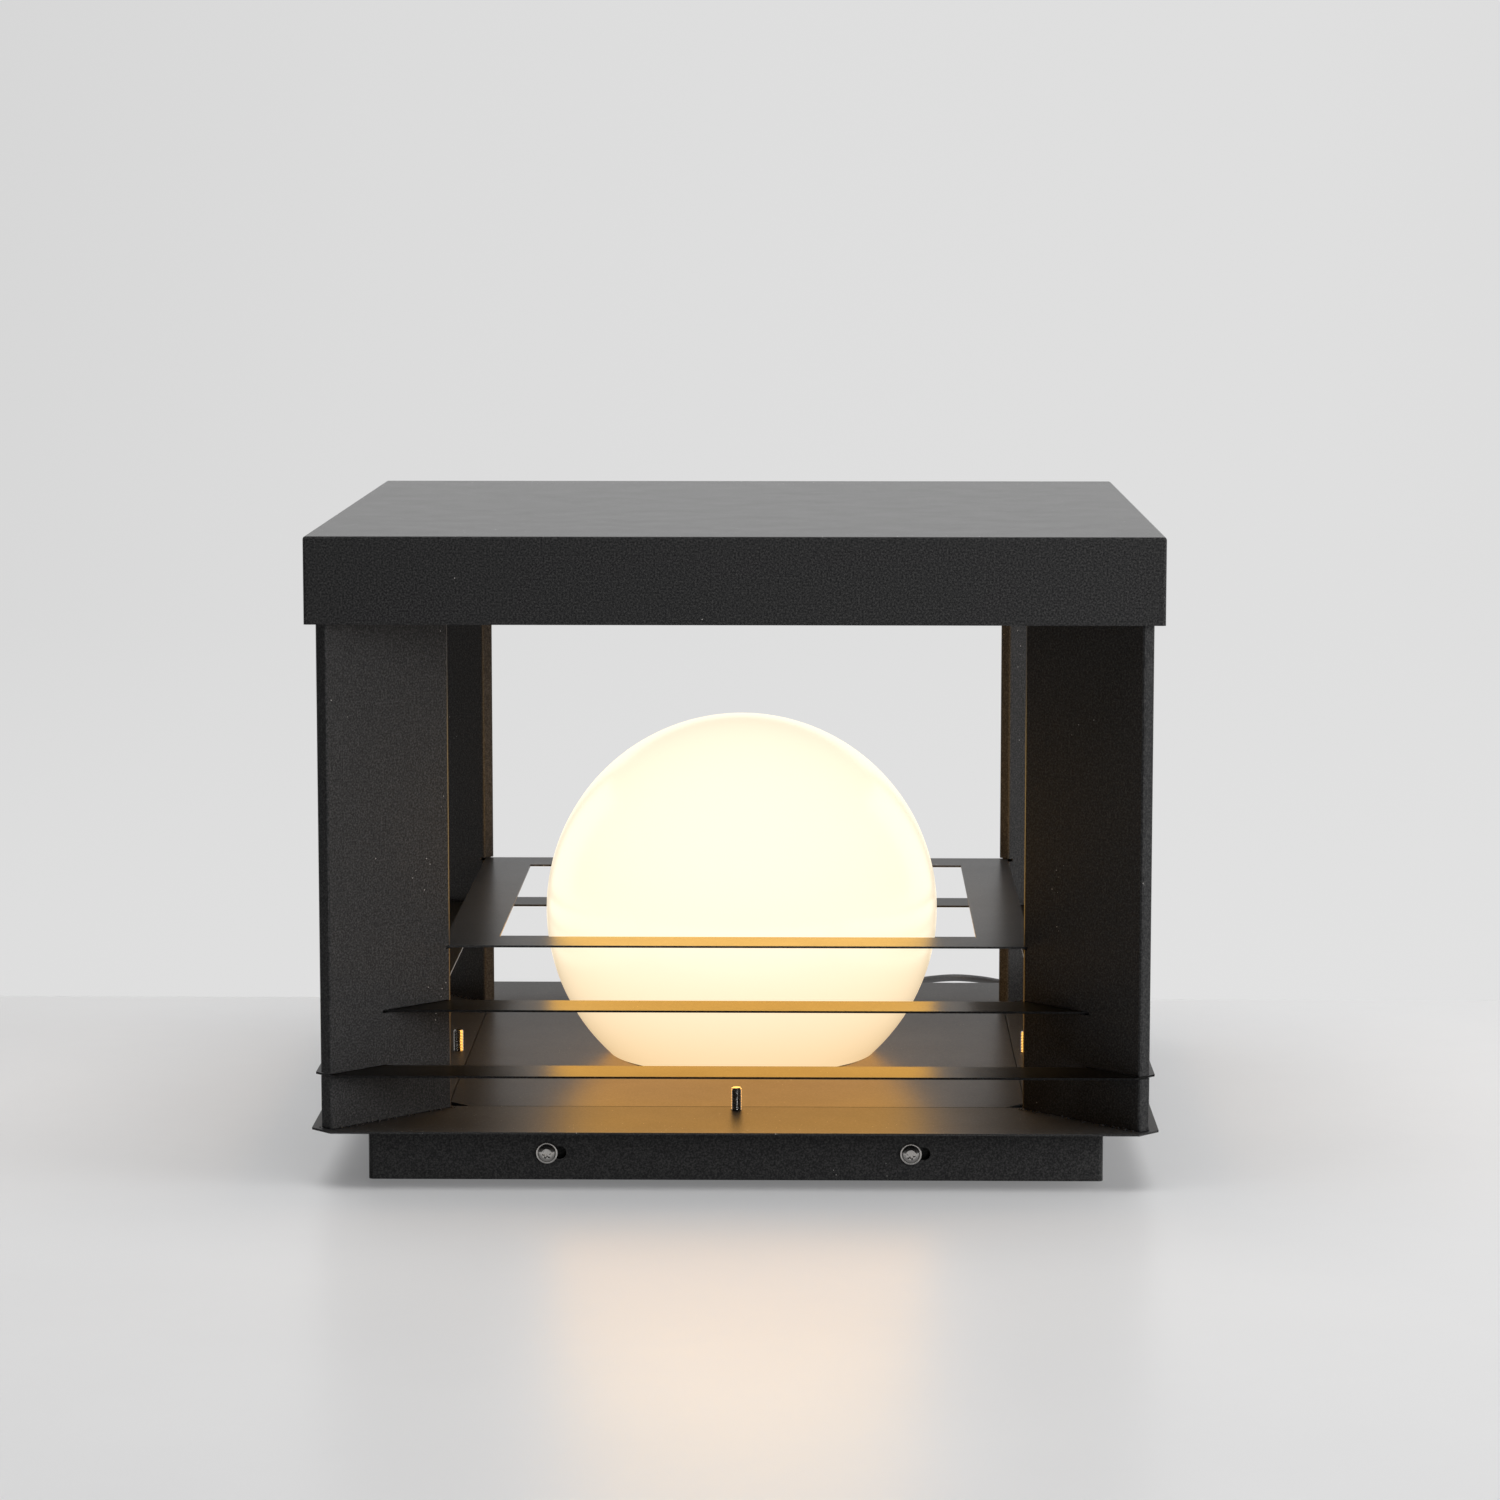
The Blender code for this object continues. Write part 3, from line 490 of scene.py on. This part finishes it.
def add_glow():
    """The globe's light: a lamp for the metalwork, and a ball that only glossy rays meet."""
    data = bpy.data.lights.new("lamp", "POINT")
    data.shadow_soft_size = GLOBE_RADIUS + 0.5 * MM
    data.use_soft_falloff = False
    data.energy = 1.6
    data.color = (1, 0.5, 0.12)
    lamp = bpy.data.objects.new("lamp", data)
    lamp.location = (0, 0, GLOBE_CENTRE)
    lamp.visible_camera = lamp.visible_glossy = False
    SCENE.collection.objects.link(lamp)
    lamp.parent = BODIES["globe"]
    exclude(lamp, "opal_globe")
    skin_gap = 0.6 * MM                 # inside the globe's outer face
    core = arc(GLOBE_CENTRE, GLOBE_RADIUS - skin_gap, 0, 180, 24)
    core = new_object("lamp_core", mesh_of(*lathe(core, 48)))
    glow = Nodes("lamp_core", Roughness=1.0, Specular_IOR_Level=0.0, Base_Color=(*grey(0), 1),
                 Emission_Strength=6.5)
    glow.to("Emission Color", glow.ramp(glow.along("Z", *GLOW_SPAN), [
        (0.05, (0.42, 0.21, 0.062)), (0.27, (0.63, 0.32, 0.063)), (0.38, (0.62, 0.32, 0.062)),
        (0.5, (0.8, 0.46, 0.12)), (1, (0.8, 0.51, 0.16))]))
    core.data.materials.append(glow.material)
    core.parent = BODIES["globe"]
    core.visible_camera = core.visible_diffuse = core.visible_shadow = core.visible_transmission = False


# ---- cord ----

def coil_points():
    """Two and a half turns on the table and one and a half on top of them, clockwise from above."""
    centre = Vector((0.128, 0.25, 0))
    low, high = 3.35, 7.6               # heights of the two layers
    steps_per_turn = 36
    # angle in turns from +X, clockwise; radius and height in mm
    keys = [(-0.04, 35.2, low), (0.0, 31.4, low), (0.06, 28.4, low), (0.72, 28.2, low), (1.02, 24.0, low),
            (1.72, 23.95, low), (2.02, 19.8, low), (2.5, 19.7, low), (2.64, 19.7, 5.2), (2.8, 19.8, high),
            (3.8, 24.1, high), (4.1, 25.8, high), (4.3, 26.6, high), (4.37, 28.6, high), (4.42, 30.8, 6.8),
            (4.47, 32.9, 5.2), (4.5, 33.7, 4.0)]
    points = []
    for (turn_a, radius_a, height_a), (turn_b, radius_b, height_b) in zip(keys, keys[1:]):
        steps = max(1, round((turn_b - turn_a) * steps_per_turn))
        for i in range(steps):
            share = i / steps
            ease = share * share * (3 - 2 * share)
            angle = -math.tau * (turn_a + (turn_b - turn_a) * share)
            radius = (radius_a + (radius_b - radius_a) * ease) * MM
            height = (height_a + (height_b - height_a) * ease) * MM
            points.append(centre + Vector((radius * math.cos(angle), radius * math.sin(angle), height)))
    return points


ROUTE_OUT = [                       # from the strain relief to the coil, in mm
    (20, 188.5, 13), (20, 200, 13), (20.5, 214, 11.4), (22, 230, 7.2), (25, 246, 3.4), (31, 264, 2.3),
    (42, 284, 2.2), (59, 308, 2.2), (80, 331, 2.2), (96, 346.2, 2.2), (107.2, 356.2, 2.2),
    (121, 361.5, 2.2), (134.8, 356.2, 2.2), (147, 344.8, 2.2), (160, 331, 2.2), (172, 314, 2.3),
    (177.5, 297, 2.6), (176, 281, 3), (169, 268, 3.3), (162, 258.5, 3.4)]
ROUTE_TAIL = [(94.6, 252, 3.4), (94, 262, 2.8), (91.5, 274, 2.3), (87, 286, 2.2)]   # out of the coil, in mm
CORES = "core_brown", "core_blue", "core_green"


def add_cord():
    """The supply cord with its coil, from the strain relief to the stripped end."""
    route = [Vector(p) * MM for p in ROUTE_OUT] + coil_points()[1:] + [Vector(p) * MM for p in ROUTE_TAIL]
    points = smooth_points(route, 3 * MM)
    cord = tube("cord", points, CORD_RADIUS, "base", "cable_sheath",
                ("supply_cord", "cord_coil", "cord_tail"))


# ---- the object ----

NODE_LOOKS = {
    "roof_cap": "roof",
    "base_ring_plate": "plate",
    "louvre_ring_lower": "strip",
    "louvre_ring_middle": "strip",
    "louvre_ring_upper": "strip",
    "globe_collar": "galvanised_sheet",
    "lampholder": "porcelain",
    "globe_gasket": "silicone",
    "terminal_block": "terminal_plastic",
    "cord_clamp": "black_plastic",
    "strain_relief": "black_plastic",
    "cord_tie": "black_plastic",
    "inner_lead": "cable_sheath",
    "lamp_lead": "cable_sheath",
    "core_brown": "core_brown",
    "core_blue": "core_blue",
    "core_green": "core_green",
    "bulb_cap": "nickel_brass",
    "bulb_glass": "bulb_glass",
    "globe": "opal_glass",
}


def finish_nodes():
    """Each CAD node takes its finish; screws and bolts are stainless, and the rest is powder-coated."""
    for name, obj in NODES.items():
        usual = "stainless_steel" if "screw" in name or "bolt" in name else "black_powder_coat"
        for material_slot in obj.material_slots:
            material_slot.link = "OBJECT"
            material_slot.material = LOOKS[NODE_LOOKS.get(name, usual)]


def add_globe():
    """Blown ball with a soft turn-in to its flat foot, and the inside of the same wall."""
    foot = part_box("globe")[0].z
    wall, soft = 3 * MM, 0.6 * MM
    mouth = 49.6 * MM                   # radius of the opening
    outer_end = math.degrees(math.acos((foot + 0.5 * MM - GLOBE_CENTRE) / GLOBE_RADIUS))
    profile = arc(GLOBE_CENTRE, GLOBE_RADIUS, 0, outer_end, 56)
    edge = profile[-1][0]
    profile += [(edge - 0.2 * MM, foot + 0.2 * MM), (edge - 0.5 * MM, foot + 0.05 * MM),
                (edge - 1.0 * MM, foot)]
    profile += [(mouth + soft, foot), (mouth, foot + soft), (mouth, foot + wall - soft),
                (mouth + soft, foot + wall)]
    inner_end = math.degrees(math.acos((foot + wall - GLOBE_CENTRE) / (GLOBE_RADIUS - wall)))
    profile += arc(GLOBE_CENTRE, GLOBE_RADIUS - wall, inner_end, 0, 30)
    globe = new_object("opal_globe", mesh_of(*lathe(profile, 96)), "globe", "opal_glass", ("globe",),
                       smooth=50)
    globe.visible_shadow = globe.visible_glossy = False     # lamp_core stands in for it there


# ---- fasteners ----

def ring(radius, height, steps, shape="round"):
    """One ring of points about Z: round, a hexagon by its flats, or a six-lobed star."""
    points = []
    half = math.radians(30)
    lobe = 0.14                         # depth of the star's lobes, as a share of its radius
    for i in range(steps):
        angle = math.tau * i / steps
        reach = radius
        if shape == "hexagon":
            reach /= math.cos((angle + half) % (2 * half) - half)
        elif shape == "star":
            reach *= 1 - lobe + lobe * math.cos(6 * angle)
        points.append(on_circle(reach, i, steps, height))
    return points


def rings_at(profile, steps, base=0.0):
    """Round rings of (radius, height above the base) in mm; the base is in metres."""
    return [ring(radius * MM, base + height * MM, steps) for radius, height in profile]


def skin(rings):
    """Closed skin over rings of equal count, from the top down, with a face on each end."""
    steps = len(rings[0])
    verts = [point for points in rings for point in points]
    faces = [list(range(steps)), [len(verts) - 1 - i for i in range(steps)]]
    for level in range(len(rings) - 1):
        start = level * steps
        for i in range(steps):
            j = (i + 1) % steps
            faces.append([start + steps + i, start + steps + j, start + j, start + i])
    return verts, faces


def thread(radius, depth, pitch, bottom, top, steps, slices):
    """Rings of a helical thread, from the top down, with a chamfered end."""
    rings = []
    count = round((top - bottom) / pitch * slices)
    tip = 0.82                          # of the radius, at the end's face
    for level in range(count + 1):
        height = top - (top - bottom) * level / count
        ease = min(1.0, (top - height) / (0.7 * pitch))
        points = []
        for i in range(steps):
            phase = (height / pitch - i / steps) % 1
            groove = depth * (1 - abs(2 * phase - 1) ** 0.8)
            points.append(on_circle((radius - groove) * (tip + (1 - tip) * ease), i, steps, height))
        rings.append(points)
    return rings


def side_screw_mesh():
    """Domed head with a star socket on a thin washer, seat at z = 0, shank down."""
    steps = 48
    socket, dome = 2.1 * MM, 4.25 * MM
    rings = [ring(0.35 * MM, 1.25 * MM, steps), ring(socket * 0.92, 1.4 * MM, steps, "star"),
             ring(socket, 2.5 * MM, steps, "star"), ring(2.35 * MM, 2.62 * MM, steps)]
    for i in range(1, 8):
        angle = math.radians(30 + 8.55 * i)
        rings.append(ring(dome * math.sin(angle), (0.85 + 2.1 * math.cos(angle)) * MM, steps))
    washer = [(4.3, 0.8), (4.4, 0.7), (4.9, 0.7), (5.1, 0.62), (5.2, 0.45), (5.2, 0.15), (5.1, 0.02),
              (4.9, 0.0), (2.5, 0.0), (2.5, -0.8)]
    rings += rings_at(washer, steps)
    rings += thread(2.5 * MM, 0.35 * MM, 0.8 * MM, -15.9 * MM, -0.9 * MM, steps, 6)
    mesh = mesh_of(*skin(rings))
    smooth_by_angle(mesh, 35)
    return mesh


def add_side_screws():
    """Eight round the foot, each turned its own way."""
    mesh = side_screw_mesh()
    for name in nodes_called("side_screw_"):
        centre = measured(name)[2]
        angle = SIDES[name.split("_")[2]]
        reach = FOOT_HALF + 0.3 * MM
        outward = Vector((math.cos(math.radians(angle)), math.sin(math.radians(angle)), 0))
        at = centre - outward * centre.dot(outward) + outward * reach
        screw = new_object("socket_" + name[5:], mesh.copy())
        turn = Matrix.Rotation(math.radians(37 * sum(map(ord, name)) % 60), 4, "Z")
        screw.matrix_world = Matrix.Translation(at) @ towards(angle) @ turn
        dress(screw, "base", "stainless_steel", (name,))


def add_studs():
    """Threaded studs with their hexagon heads under the foot's flange."""
    radius, head, flats, edge = 2.6 * MM, 3.2 * MM, 3.8 * MM, 3.4 * MM
    steps = 28
    for name in nodes_called("cage_bolt_"):
        low, high, centre = measured(name)
        rings = thread(radius, 0.34 * MM, 0.8 * MM, low.z + head + 0.4 * MM, high.z, steps, 8)
        rings += [ring(radius, low.z + head + 0.2 * MM, steps), ring(radius, low.z + head, steps)]
        hexagon = skin([ring(edge, low.z + head, 24), ring(flats, low.z + head - 0.3 * MM, 24, "hexagon"),
                        ring(flats, low.z + 0.3 * MM, 24, "hexagon"), ring(edge, low.z, 24)])
        turn = Matrix.Rotation(centre.x * 40 + 0.4, 4, "Z")
        turn = Matrix.Translation((centre.x, centre.y, 0)) @ turn
        stud = mesh_of(*joined([(*skin(rings), turn), (*hexagon, turn)]))
        new_object("stud_" + name[10:], stud, "base", "stainless_steel", (name,), smooth=38)


def add_beads():
    """Rough beads of coated weld along both sides of each post's foot."""
    source = random.Random(4)
    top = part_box("base_ring_plate")[1].z
    parts = []
    for name in nodes_called("post_"):
        low, high, centre = measured(name)
        out = Vector((math.copysign(1, centre.x), math.copysign(1, centre.y), 0)).normalized()
        across = Vector((-out.y, out.x, 0))
        reach = (high - low).x / 2 * 1.32           # half the post's width, along the diagonal
        for side in (-1, 1):
            for _ in range(42):
                size = source.uniform(0.25, 0.75) * MM
                along = reach * source.uniform(-1, 1)
                off = side * (3.95 + source.random() ** 2 * 1.6) * MM
                at = Vector((centre.x, centre.y, top + size * 0.55)) + out * along + across * off
                spin = Matrix.Rotation(source.uniform(0, 6), 4, "Z") @ Matrix.Diagonal((1, 0.8, 0.75, 1))
                parts.append((*ball(size), Matrix.Translation(at) @ spin))
    new_object("weld_beads", mesh_of(*joined(parts)), "cage", "black_powder_coat", smooth=80)


def ball(radius):
    """Verts and faces of a small coarse ball."""
    return lathe(arc(0, radius, 0, 180, 5), 8)


def pan_head(shank, head, length):
    """Pan-head screw with a cross recess, seat at z = 0."""
    steps = 32
    wide = shank * 1.9
    rings = [ring(wide * r, head * h, steps) for r, h in (
        (0.25, 1.0), (0.5, 0.99), (0.7, 0.95), (0.85, 0.85), (0.95, 0.65), (1.0, 0.4), (1.0, 0.06),
        (0.96, 0.0))]
    rings += [ring(shank, 0, steps), ring(shank, -length * 0.9, steps), ring(shank * 0.7, -length, steps)]
    obj = new_object("pan_head", mesh_of(*skin(rings)))
    for turn in (0, 90):
        bar = box_mesh((wide * 1.05, wide * 0.24, head), (0, 0, head * 0.95))
        cutter = new_object("cross", mesh_of(*bar))
        cutter.rotation_euler.z = math.radians(turn)
        cut = obj.modifiers.new("cross", "BOOLEAN")
        cut.operation = "DIFFERENCE"
        cut.solver = "EXACT"
        cut.object = cutter
    return applied(obj)


def applied(obj):
    """The mesh of a helper object with its modifiers applied; the helpers go."""
    bpy.context.view_layer.update()
    mesh = bpy.data.meshes.new_from_object(obj.evaluated_get(bpy.context.evaluated_depsgraph_get()))
    for modifier in obj.modifiers:
        if modifier.type == "BOOLEAN":
            bpy.data.objects.remove(modifier.object)
    bpy.data.objects.remove(obj)
    return mesh


def box_mesh(size, at):
    """Verts and faces of a box."""
    x, y, z = (v / 2 for v in size)
    verts = [(at[0] + i * x, at[1] + j * y, at[2] + k * z) for i in (-1, 1) for j in (-1, 1) for k in (-1, 1)]
    return verts, [[0, 1, 3, 2], [4, 6, 7, 5], [0, 4, 5, 1], [2, 3, 7, 6], [0, 2, 6, 4], [1, 5, 7, 3]]


SMALL_SCREWS = {                        # shank radius, head height and length, in mm
    "collar_screw": (1.5, 1.6, 8), "holder_screw": (1.5, 1.6, 8), "clamp_screw": (1.5, 1.6, 10),
    "roof_screw": (2, 2.2, 4.6)}


def add_small_screws():
    """The roof screws point up into their frame, and the others down."""
    for kind, (shank, head, length) in SMALL_SCREWS.items():
        mesh = pan_head(shank * MM, head * MM, length * MM)
        smooth_by_angle(mesh, 35)
        upwards = kind == "roof_screw"
        for name in nodes_called(kind):
            low, high, centre = measured(name)
            screw = new_object("pan_" + name, mesh.copy())
            seat = high.z - length * MM if upwards else low.z + length * MM
            screw.matrix_world = Matrix.Translation((centre.x, centre.y, seat))
            if upwards:
                screw.matrix_world @= Matrix.Rotation(math.pi, 4, "X")
            screw.matrix_world @= Matrix.Rotation(centre.x * 90 + 0.5, 4, "Z")
            dress(screw, "cage" if upwards else "base", "stainless_steel", (name,))


# ---- lamp and wiring ----

def revolved(name, profile, body, slot, replaces=(), steps=64, closed=True, smooth=35, bevel=0.0):
    """A body of revolution, with its edges rounded by the bevel's width."""
    obj = new_object(name, mesh_of(*lathe(profile, steps, closed)), body, slot, replaces, smooth)
    if bevel:
        round_edges(obj, bevel)


def round_edges(obj, width):
    bevel = obj.modifiers.new("soft_edge", "BEVEL")
    bevel.width = width
    bevel.segments = 2
    bevel.limit_method = "ANGLE"
    bevel.angle_limit = math.radians(40)


def add_holder():
    """Porcelain holder with its brass shell."""
    low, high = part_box("lampholder")
    base = low.z
    wall, flange, bore, cable = 19 * MM, 23 * MM, 14.3 * MM, 3 * MM
    profile = [(wall, high.z), (wall, base + 24 * MM)]
    for i in range(3):                                  # shallow grip rings
        z = base + (23 - 4 * i) * MM
        profile += [(wall - 0.7 * MM, z - 0.5 * MM), (wall - 0.7 * MM, z - 2 * MM), (wall, z - 2.5 * MM)]
    profile += [(wall, base + 8 * MM), (wall + 1.2 * MM, base + 5.6 * MM), (flange, base + 4.5 * MM),
                (flange, base), (cable, base), (cable, base + 10 * MM), (bore, base + 10 * MM),
                (bore, high.z)]
    revolved("porcelain_holder", profile, "base", "porcelain", ("lampholder",), bevel=0.4 * MM)
    shell = []
    for i in range(26):                                 # a thread's crests and grooves in turn
        z = base + (12 + 1.2 * i) * MM
        shell.append((bore - 0.15 * MM - 0.35 * MM * (0.5 + 0.5 * math.cos(math.pi * i)), z))
    outer = [(bore - 0.08 * MM, z) for _, z in reversed(shell)]
    revolved("holder_shell", outer + shell, "base", "nickel_brass", steps=48)


def add_globe_seat():
    """Folded collar round the globe's foot, and the gasket that it stands on."""
    low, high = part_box("globe_collar")
    edge, inner, sheet, rim = high.x, 38 * MM, 1.2 * MM, 2 * MM
    profile = [(edge, high.z), (edge, low.z), (inner, low.z), (inner, low.z + sheet),
               (edge - rim, low.z + sheet), (edge - rim, high.z)]
    revolved("collar_ring", profile, "base", "galvanised_sheet", ("globe_collar",), 96, bevel=0.25 * MM)
    low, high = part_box("globe_gasket")
    inner = 50.2 * MM
    profile = [(high.x, high.z), (high.x, low.z), (inner, low.z), (inner, high.z)]
    revolved("gasket_ring", profile, "base", "silicone", ("globe_gasket",), 96, bevel=0.2 * MM)


def add_bulb():
    """Screw-in lamp: threaded cap and frosted glass."""
    low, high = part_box("bulb_cap")
    steps = 40
    rings = thread(13.3 * MM, 0.9 * MM, 3.6 * MM, low.z + 5 * MM, high.z, steps, 10)
    rings += rings_at([(12.2, 4.6), (11.6, 3.6), (10.4, 2.6), (8.2, 1.5), (5.2, 1.2), (5.0, 0.4), (3.5, 0.0)],
                      steps, low.z)
    new_object("screw_cap", mesh_of(*skin(rings)), "bulb", "nickel_brass", ("bulb_cap",), smooth=50)

    low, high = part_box("bulb_glass")
    radius, neck = 30 * MM, 12.8 * MM
    centre = high.z - radius
    outer = arc(centre, radius, 0, 108, 24)
    for reach, depth in ((20.0, 44.5), (17.0, 51.8), (14.7, 58.5), (13.2, 65.0), (12.8, 69.5)):
        outer.append((reach * MM, high.z - depth * MM))
    outer = [p for p in outer if p[1] > low.z + 3 * MM] + [(neck, low.z + 2 * MM), (neck, low.z)]
    inner = [(max(r - 1 * MM, 0), z) for r, z in reversed(outer)]
    inner[-1] = (0, high.z - 1 * MM)
    revolved("frosted_bulb", outer + inner, "bulb", "bulb_glass", ("bulb_glass",), 48, False, 60)


def add_bush():
    """Strain relief with bend-relief grooves."""
    low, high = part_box("strain_relief")
    inside, outside = FOOT_HALF - 1.5 * MM, FOOT_HALF + 0.3 * MM
    bore, groove, neck, clip, flange = CORD_RADIUS + 0.25 * MM, 2.9 * MM, 4.6 * MM, 7 * MM, 7.5 * MM
    tip = high.y
    profile = [(bore, tip), (3.3 * MM, tip), (3.6 * MM, tip - 0.4 * MM)]
    for i in range(4):
        y = tip - (2.4 + 3.6 * i) * MM
        reach = (3.6 + 0.35 * (i + 1)) * MM
        profile += [(reach, y), (groove, y - 0.3 * MM), (groove, y - 1.2 * MM), (reach, y - 1.5 * MM)]
    profile += [(5.0 * MM, outside + 3.5 * MM - 1 * MM), (7.2 * MM, outside + 2.1 * MM),
                (flange, outside + 1.7 * MM), (flange, outside), (neck, outside), (neck, inside),
                (clip, inside), (clip, low.y), (bore, low.y)]
    bush = new_object("grooved_bush", mesh_of(*lathe(profile, 40, True)), smooth=35)
    bush.matrix_world = Matrix.Translation((EXIT_X, 0, EXIT_Z)) @ towards(90)
    dress(bush, "base", "black_plastic", ("strain_relief",))


def add_terminal_screws():
    """Four, sunk in the terminal block."""
    block_y, apart_x, apart_y = 0.12, 6 * MM, 7 * MM
    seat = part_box("terminal_block")[1].z - 2.4 * MM
    mesh = pan_head(0.9 * MM, 0.9 * MM, 1.5 * MM)
    for i, (x, y) in enumerate(((-1, -1), (1, -1), (-1, 1), (1, 1)), 1):
        screw = new_object(f"terminal_screw_{i}", mesh.copy())
        screw.matrix_world = Matrix.Translation((EXIT_X + x * apart_x, block_y + y * apart_y, seat))
        dress(screw, "base", "nickel_brass")


def add_cores():
    """The three stripped cores, fanned out from the end of the sheath."""
    tail = Vector(ROUTE_TAIL[-1]) * MM
    run = (tail - Vector(ROUTE_TAIL[-2]) * MM).normalized()
    for side, core in zip((-1, 0, 1), CORES):
        low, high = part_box(core)
        start = tail - run * 0.5 * MM
        start += Vector((run.y, -run.x, 0)) * side * 1.1 * MM
        start.z = 1.7 * MM + (0.4 * MM if side == 0 else 0)
        end_x = (low.x, (low.x + high.x) / 2, high.x)[side + 1]
        end = Vector((end_x, high.y - 0.6 * MM, 0.7 * MM))
        bend = start.lerp(end, 0.5) + Vector((side * 0.8 * MM, 0, 0.3 * MM))
        points = smooth_points([start, start.lerp(end, 0.12), bend, start.lerp(end, 0.85), end], 0.8 * MM)
        cut = round(len(points) * 0.68)
        tube("insulated_" + core, points[:cut + 1], 0.62 * MM, "base", core, (core,), sides=2)
        strands = tube("bare_" + core, points[cut - 1:], 0.36 * MM, "base", None, sides=2)
        strands.data.materials.append(LOOKS["copper"])


def add_tie():
    """Soft strap with rounded corners round one side of the coil."""
    low, high, middle = measured("cord_tie")
    thick, corner = 0.7 * MM, 2.2 * MM
    half_y, half_z = (high.y - low.y) / 2 - thick / 2, (high.z - low.z) / 2 - thick / 2
    path = []
    for quarter, (cy, cz) in enumerate(((1, 1), (-1, 1), (-1, -1), (1, -1))):
        for i in range(7):
            angle = math.radians(90 * quarter + 15 * i)
            path.append((middle.y + cy * (half_y - corner) + corner * math.cos(angle),
                         middle.z + cz * (half_z - corner) + corner * math.sin(angle)))
    ribbon("coil_tie", path, middle.x, 5 * MM, thick, ("cord_tie",))


def ribbon(name, path, at_x, width, thick, replaces):
    """Closed band of a soft strap: the path is its middle line in the YZ plane."""
    section = (-1, -1), (-1, 1), (-0.86, 1.25), (0.86, 1.25), (1, 1), (1, -1)     # across and outwards
    verts, faces = [], []
    count, wide = len(path), len(section)
    for i, (y, z) in enumerate(path):
        before, after = path[i - 1], path[(i + 1) % count]
        along = Vector((0, after[0] - before[0], after[1] - before[1])).normalized()
        out = Vector((0, along.z, -along.y))
        for side, lift in section:
            verts.append(Vector((at_x + side * width / 2, y, z)) + out * lift * thick / 2.5)
    for i in range(count):
        j = (i + 1) % count
        for k in range(wide):
            m = (k + 1) % wide
            faces.append([wide * i + k, wide * i + m, wide * j + m, wide * j + k])
    mesh = mesh_of(verts, faces)
    work = bmesh.new()
    work.from_mesh(mesh)
    bmesh.ops.recalc_face_normals(work, faces=work.faces)
    work.to_mesh(mesh)
    work.free()
    new_object(name, mesh, "base", "black_plastic", replaces, smooth=50)


def soften_sheet_metal():
    """Slightly rounded edges on all coated sheet and on the two plastic blocks; widths in mm."""
    usual = 0.18
    widths = {"mount_tray": 0.25, "terminal_block": 0.4, "cord_clamp": 0.4, "roof_cap": 0.2,
              "foot_skirt": 0.2}
    for name, obj in NODES.items():
        look = obj.material_slots[0].material.name if obj.material_slots else ""
        if not obj.hide_render and (name in widths or look.startswith("powder_coat")):
            round_edges(obj, widths.get(name, usual) * MM)


# ---- assembly ----

def main():
    SCENE.view_settings.view_transform = "Standard"
    LOOKS.update(make_looks())
    add_camera()
    add_stage()
    finish_nodes()
    add_globe()
    add_side_screws()
    add_studs()
    add_small_screws()
    add_beads()
    add_holder()
    add_globe_seat()
    add_bulb()
    add_bush()
    add_terminal_screws()
    add_cores()
    add_tie()
    add_cord()
    soften_sheet_metal()
    add_lights()
    add_glow()


main()
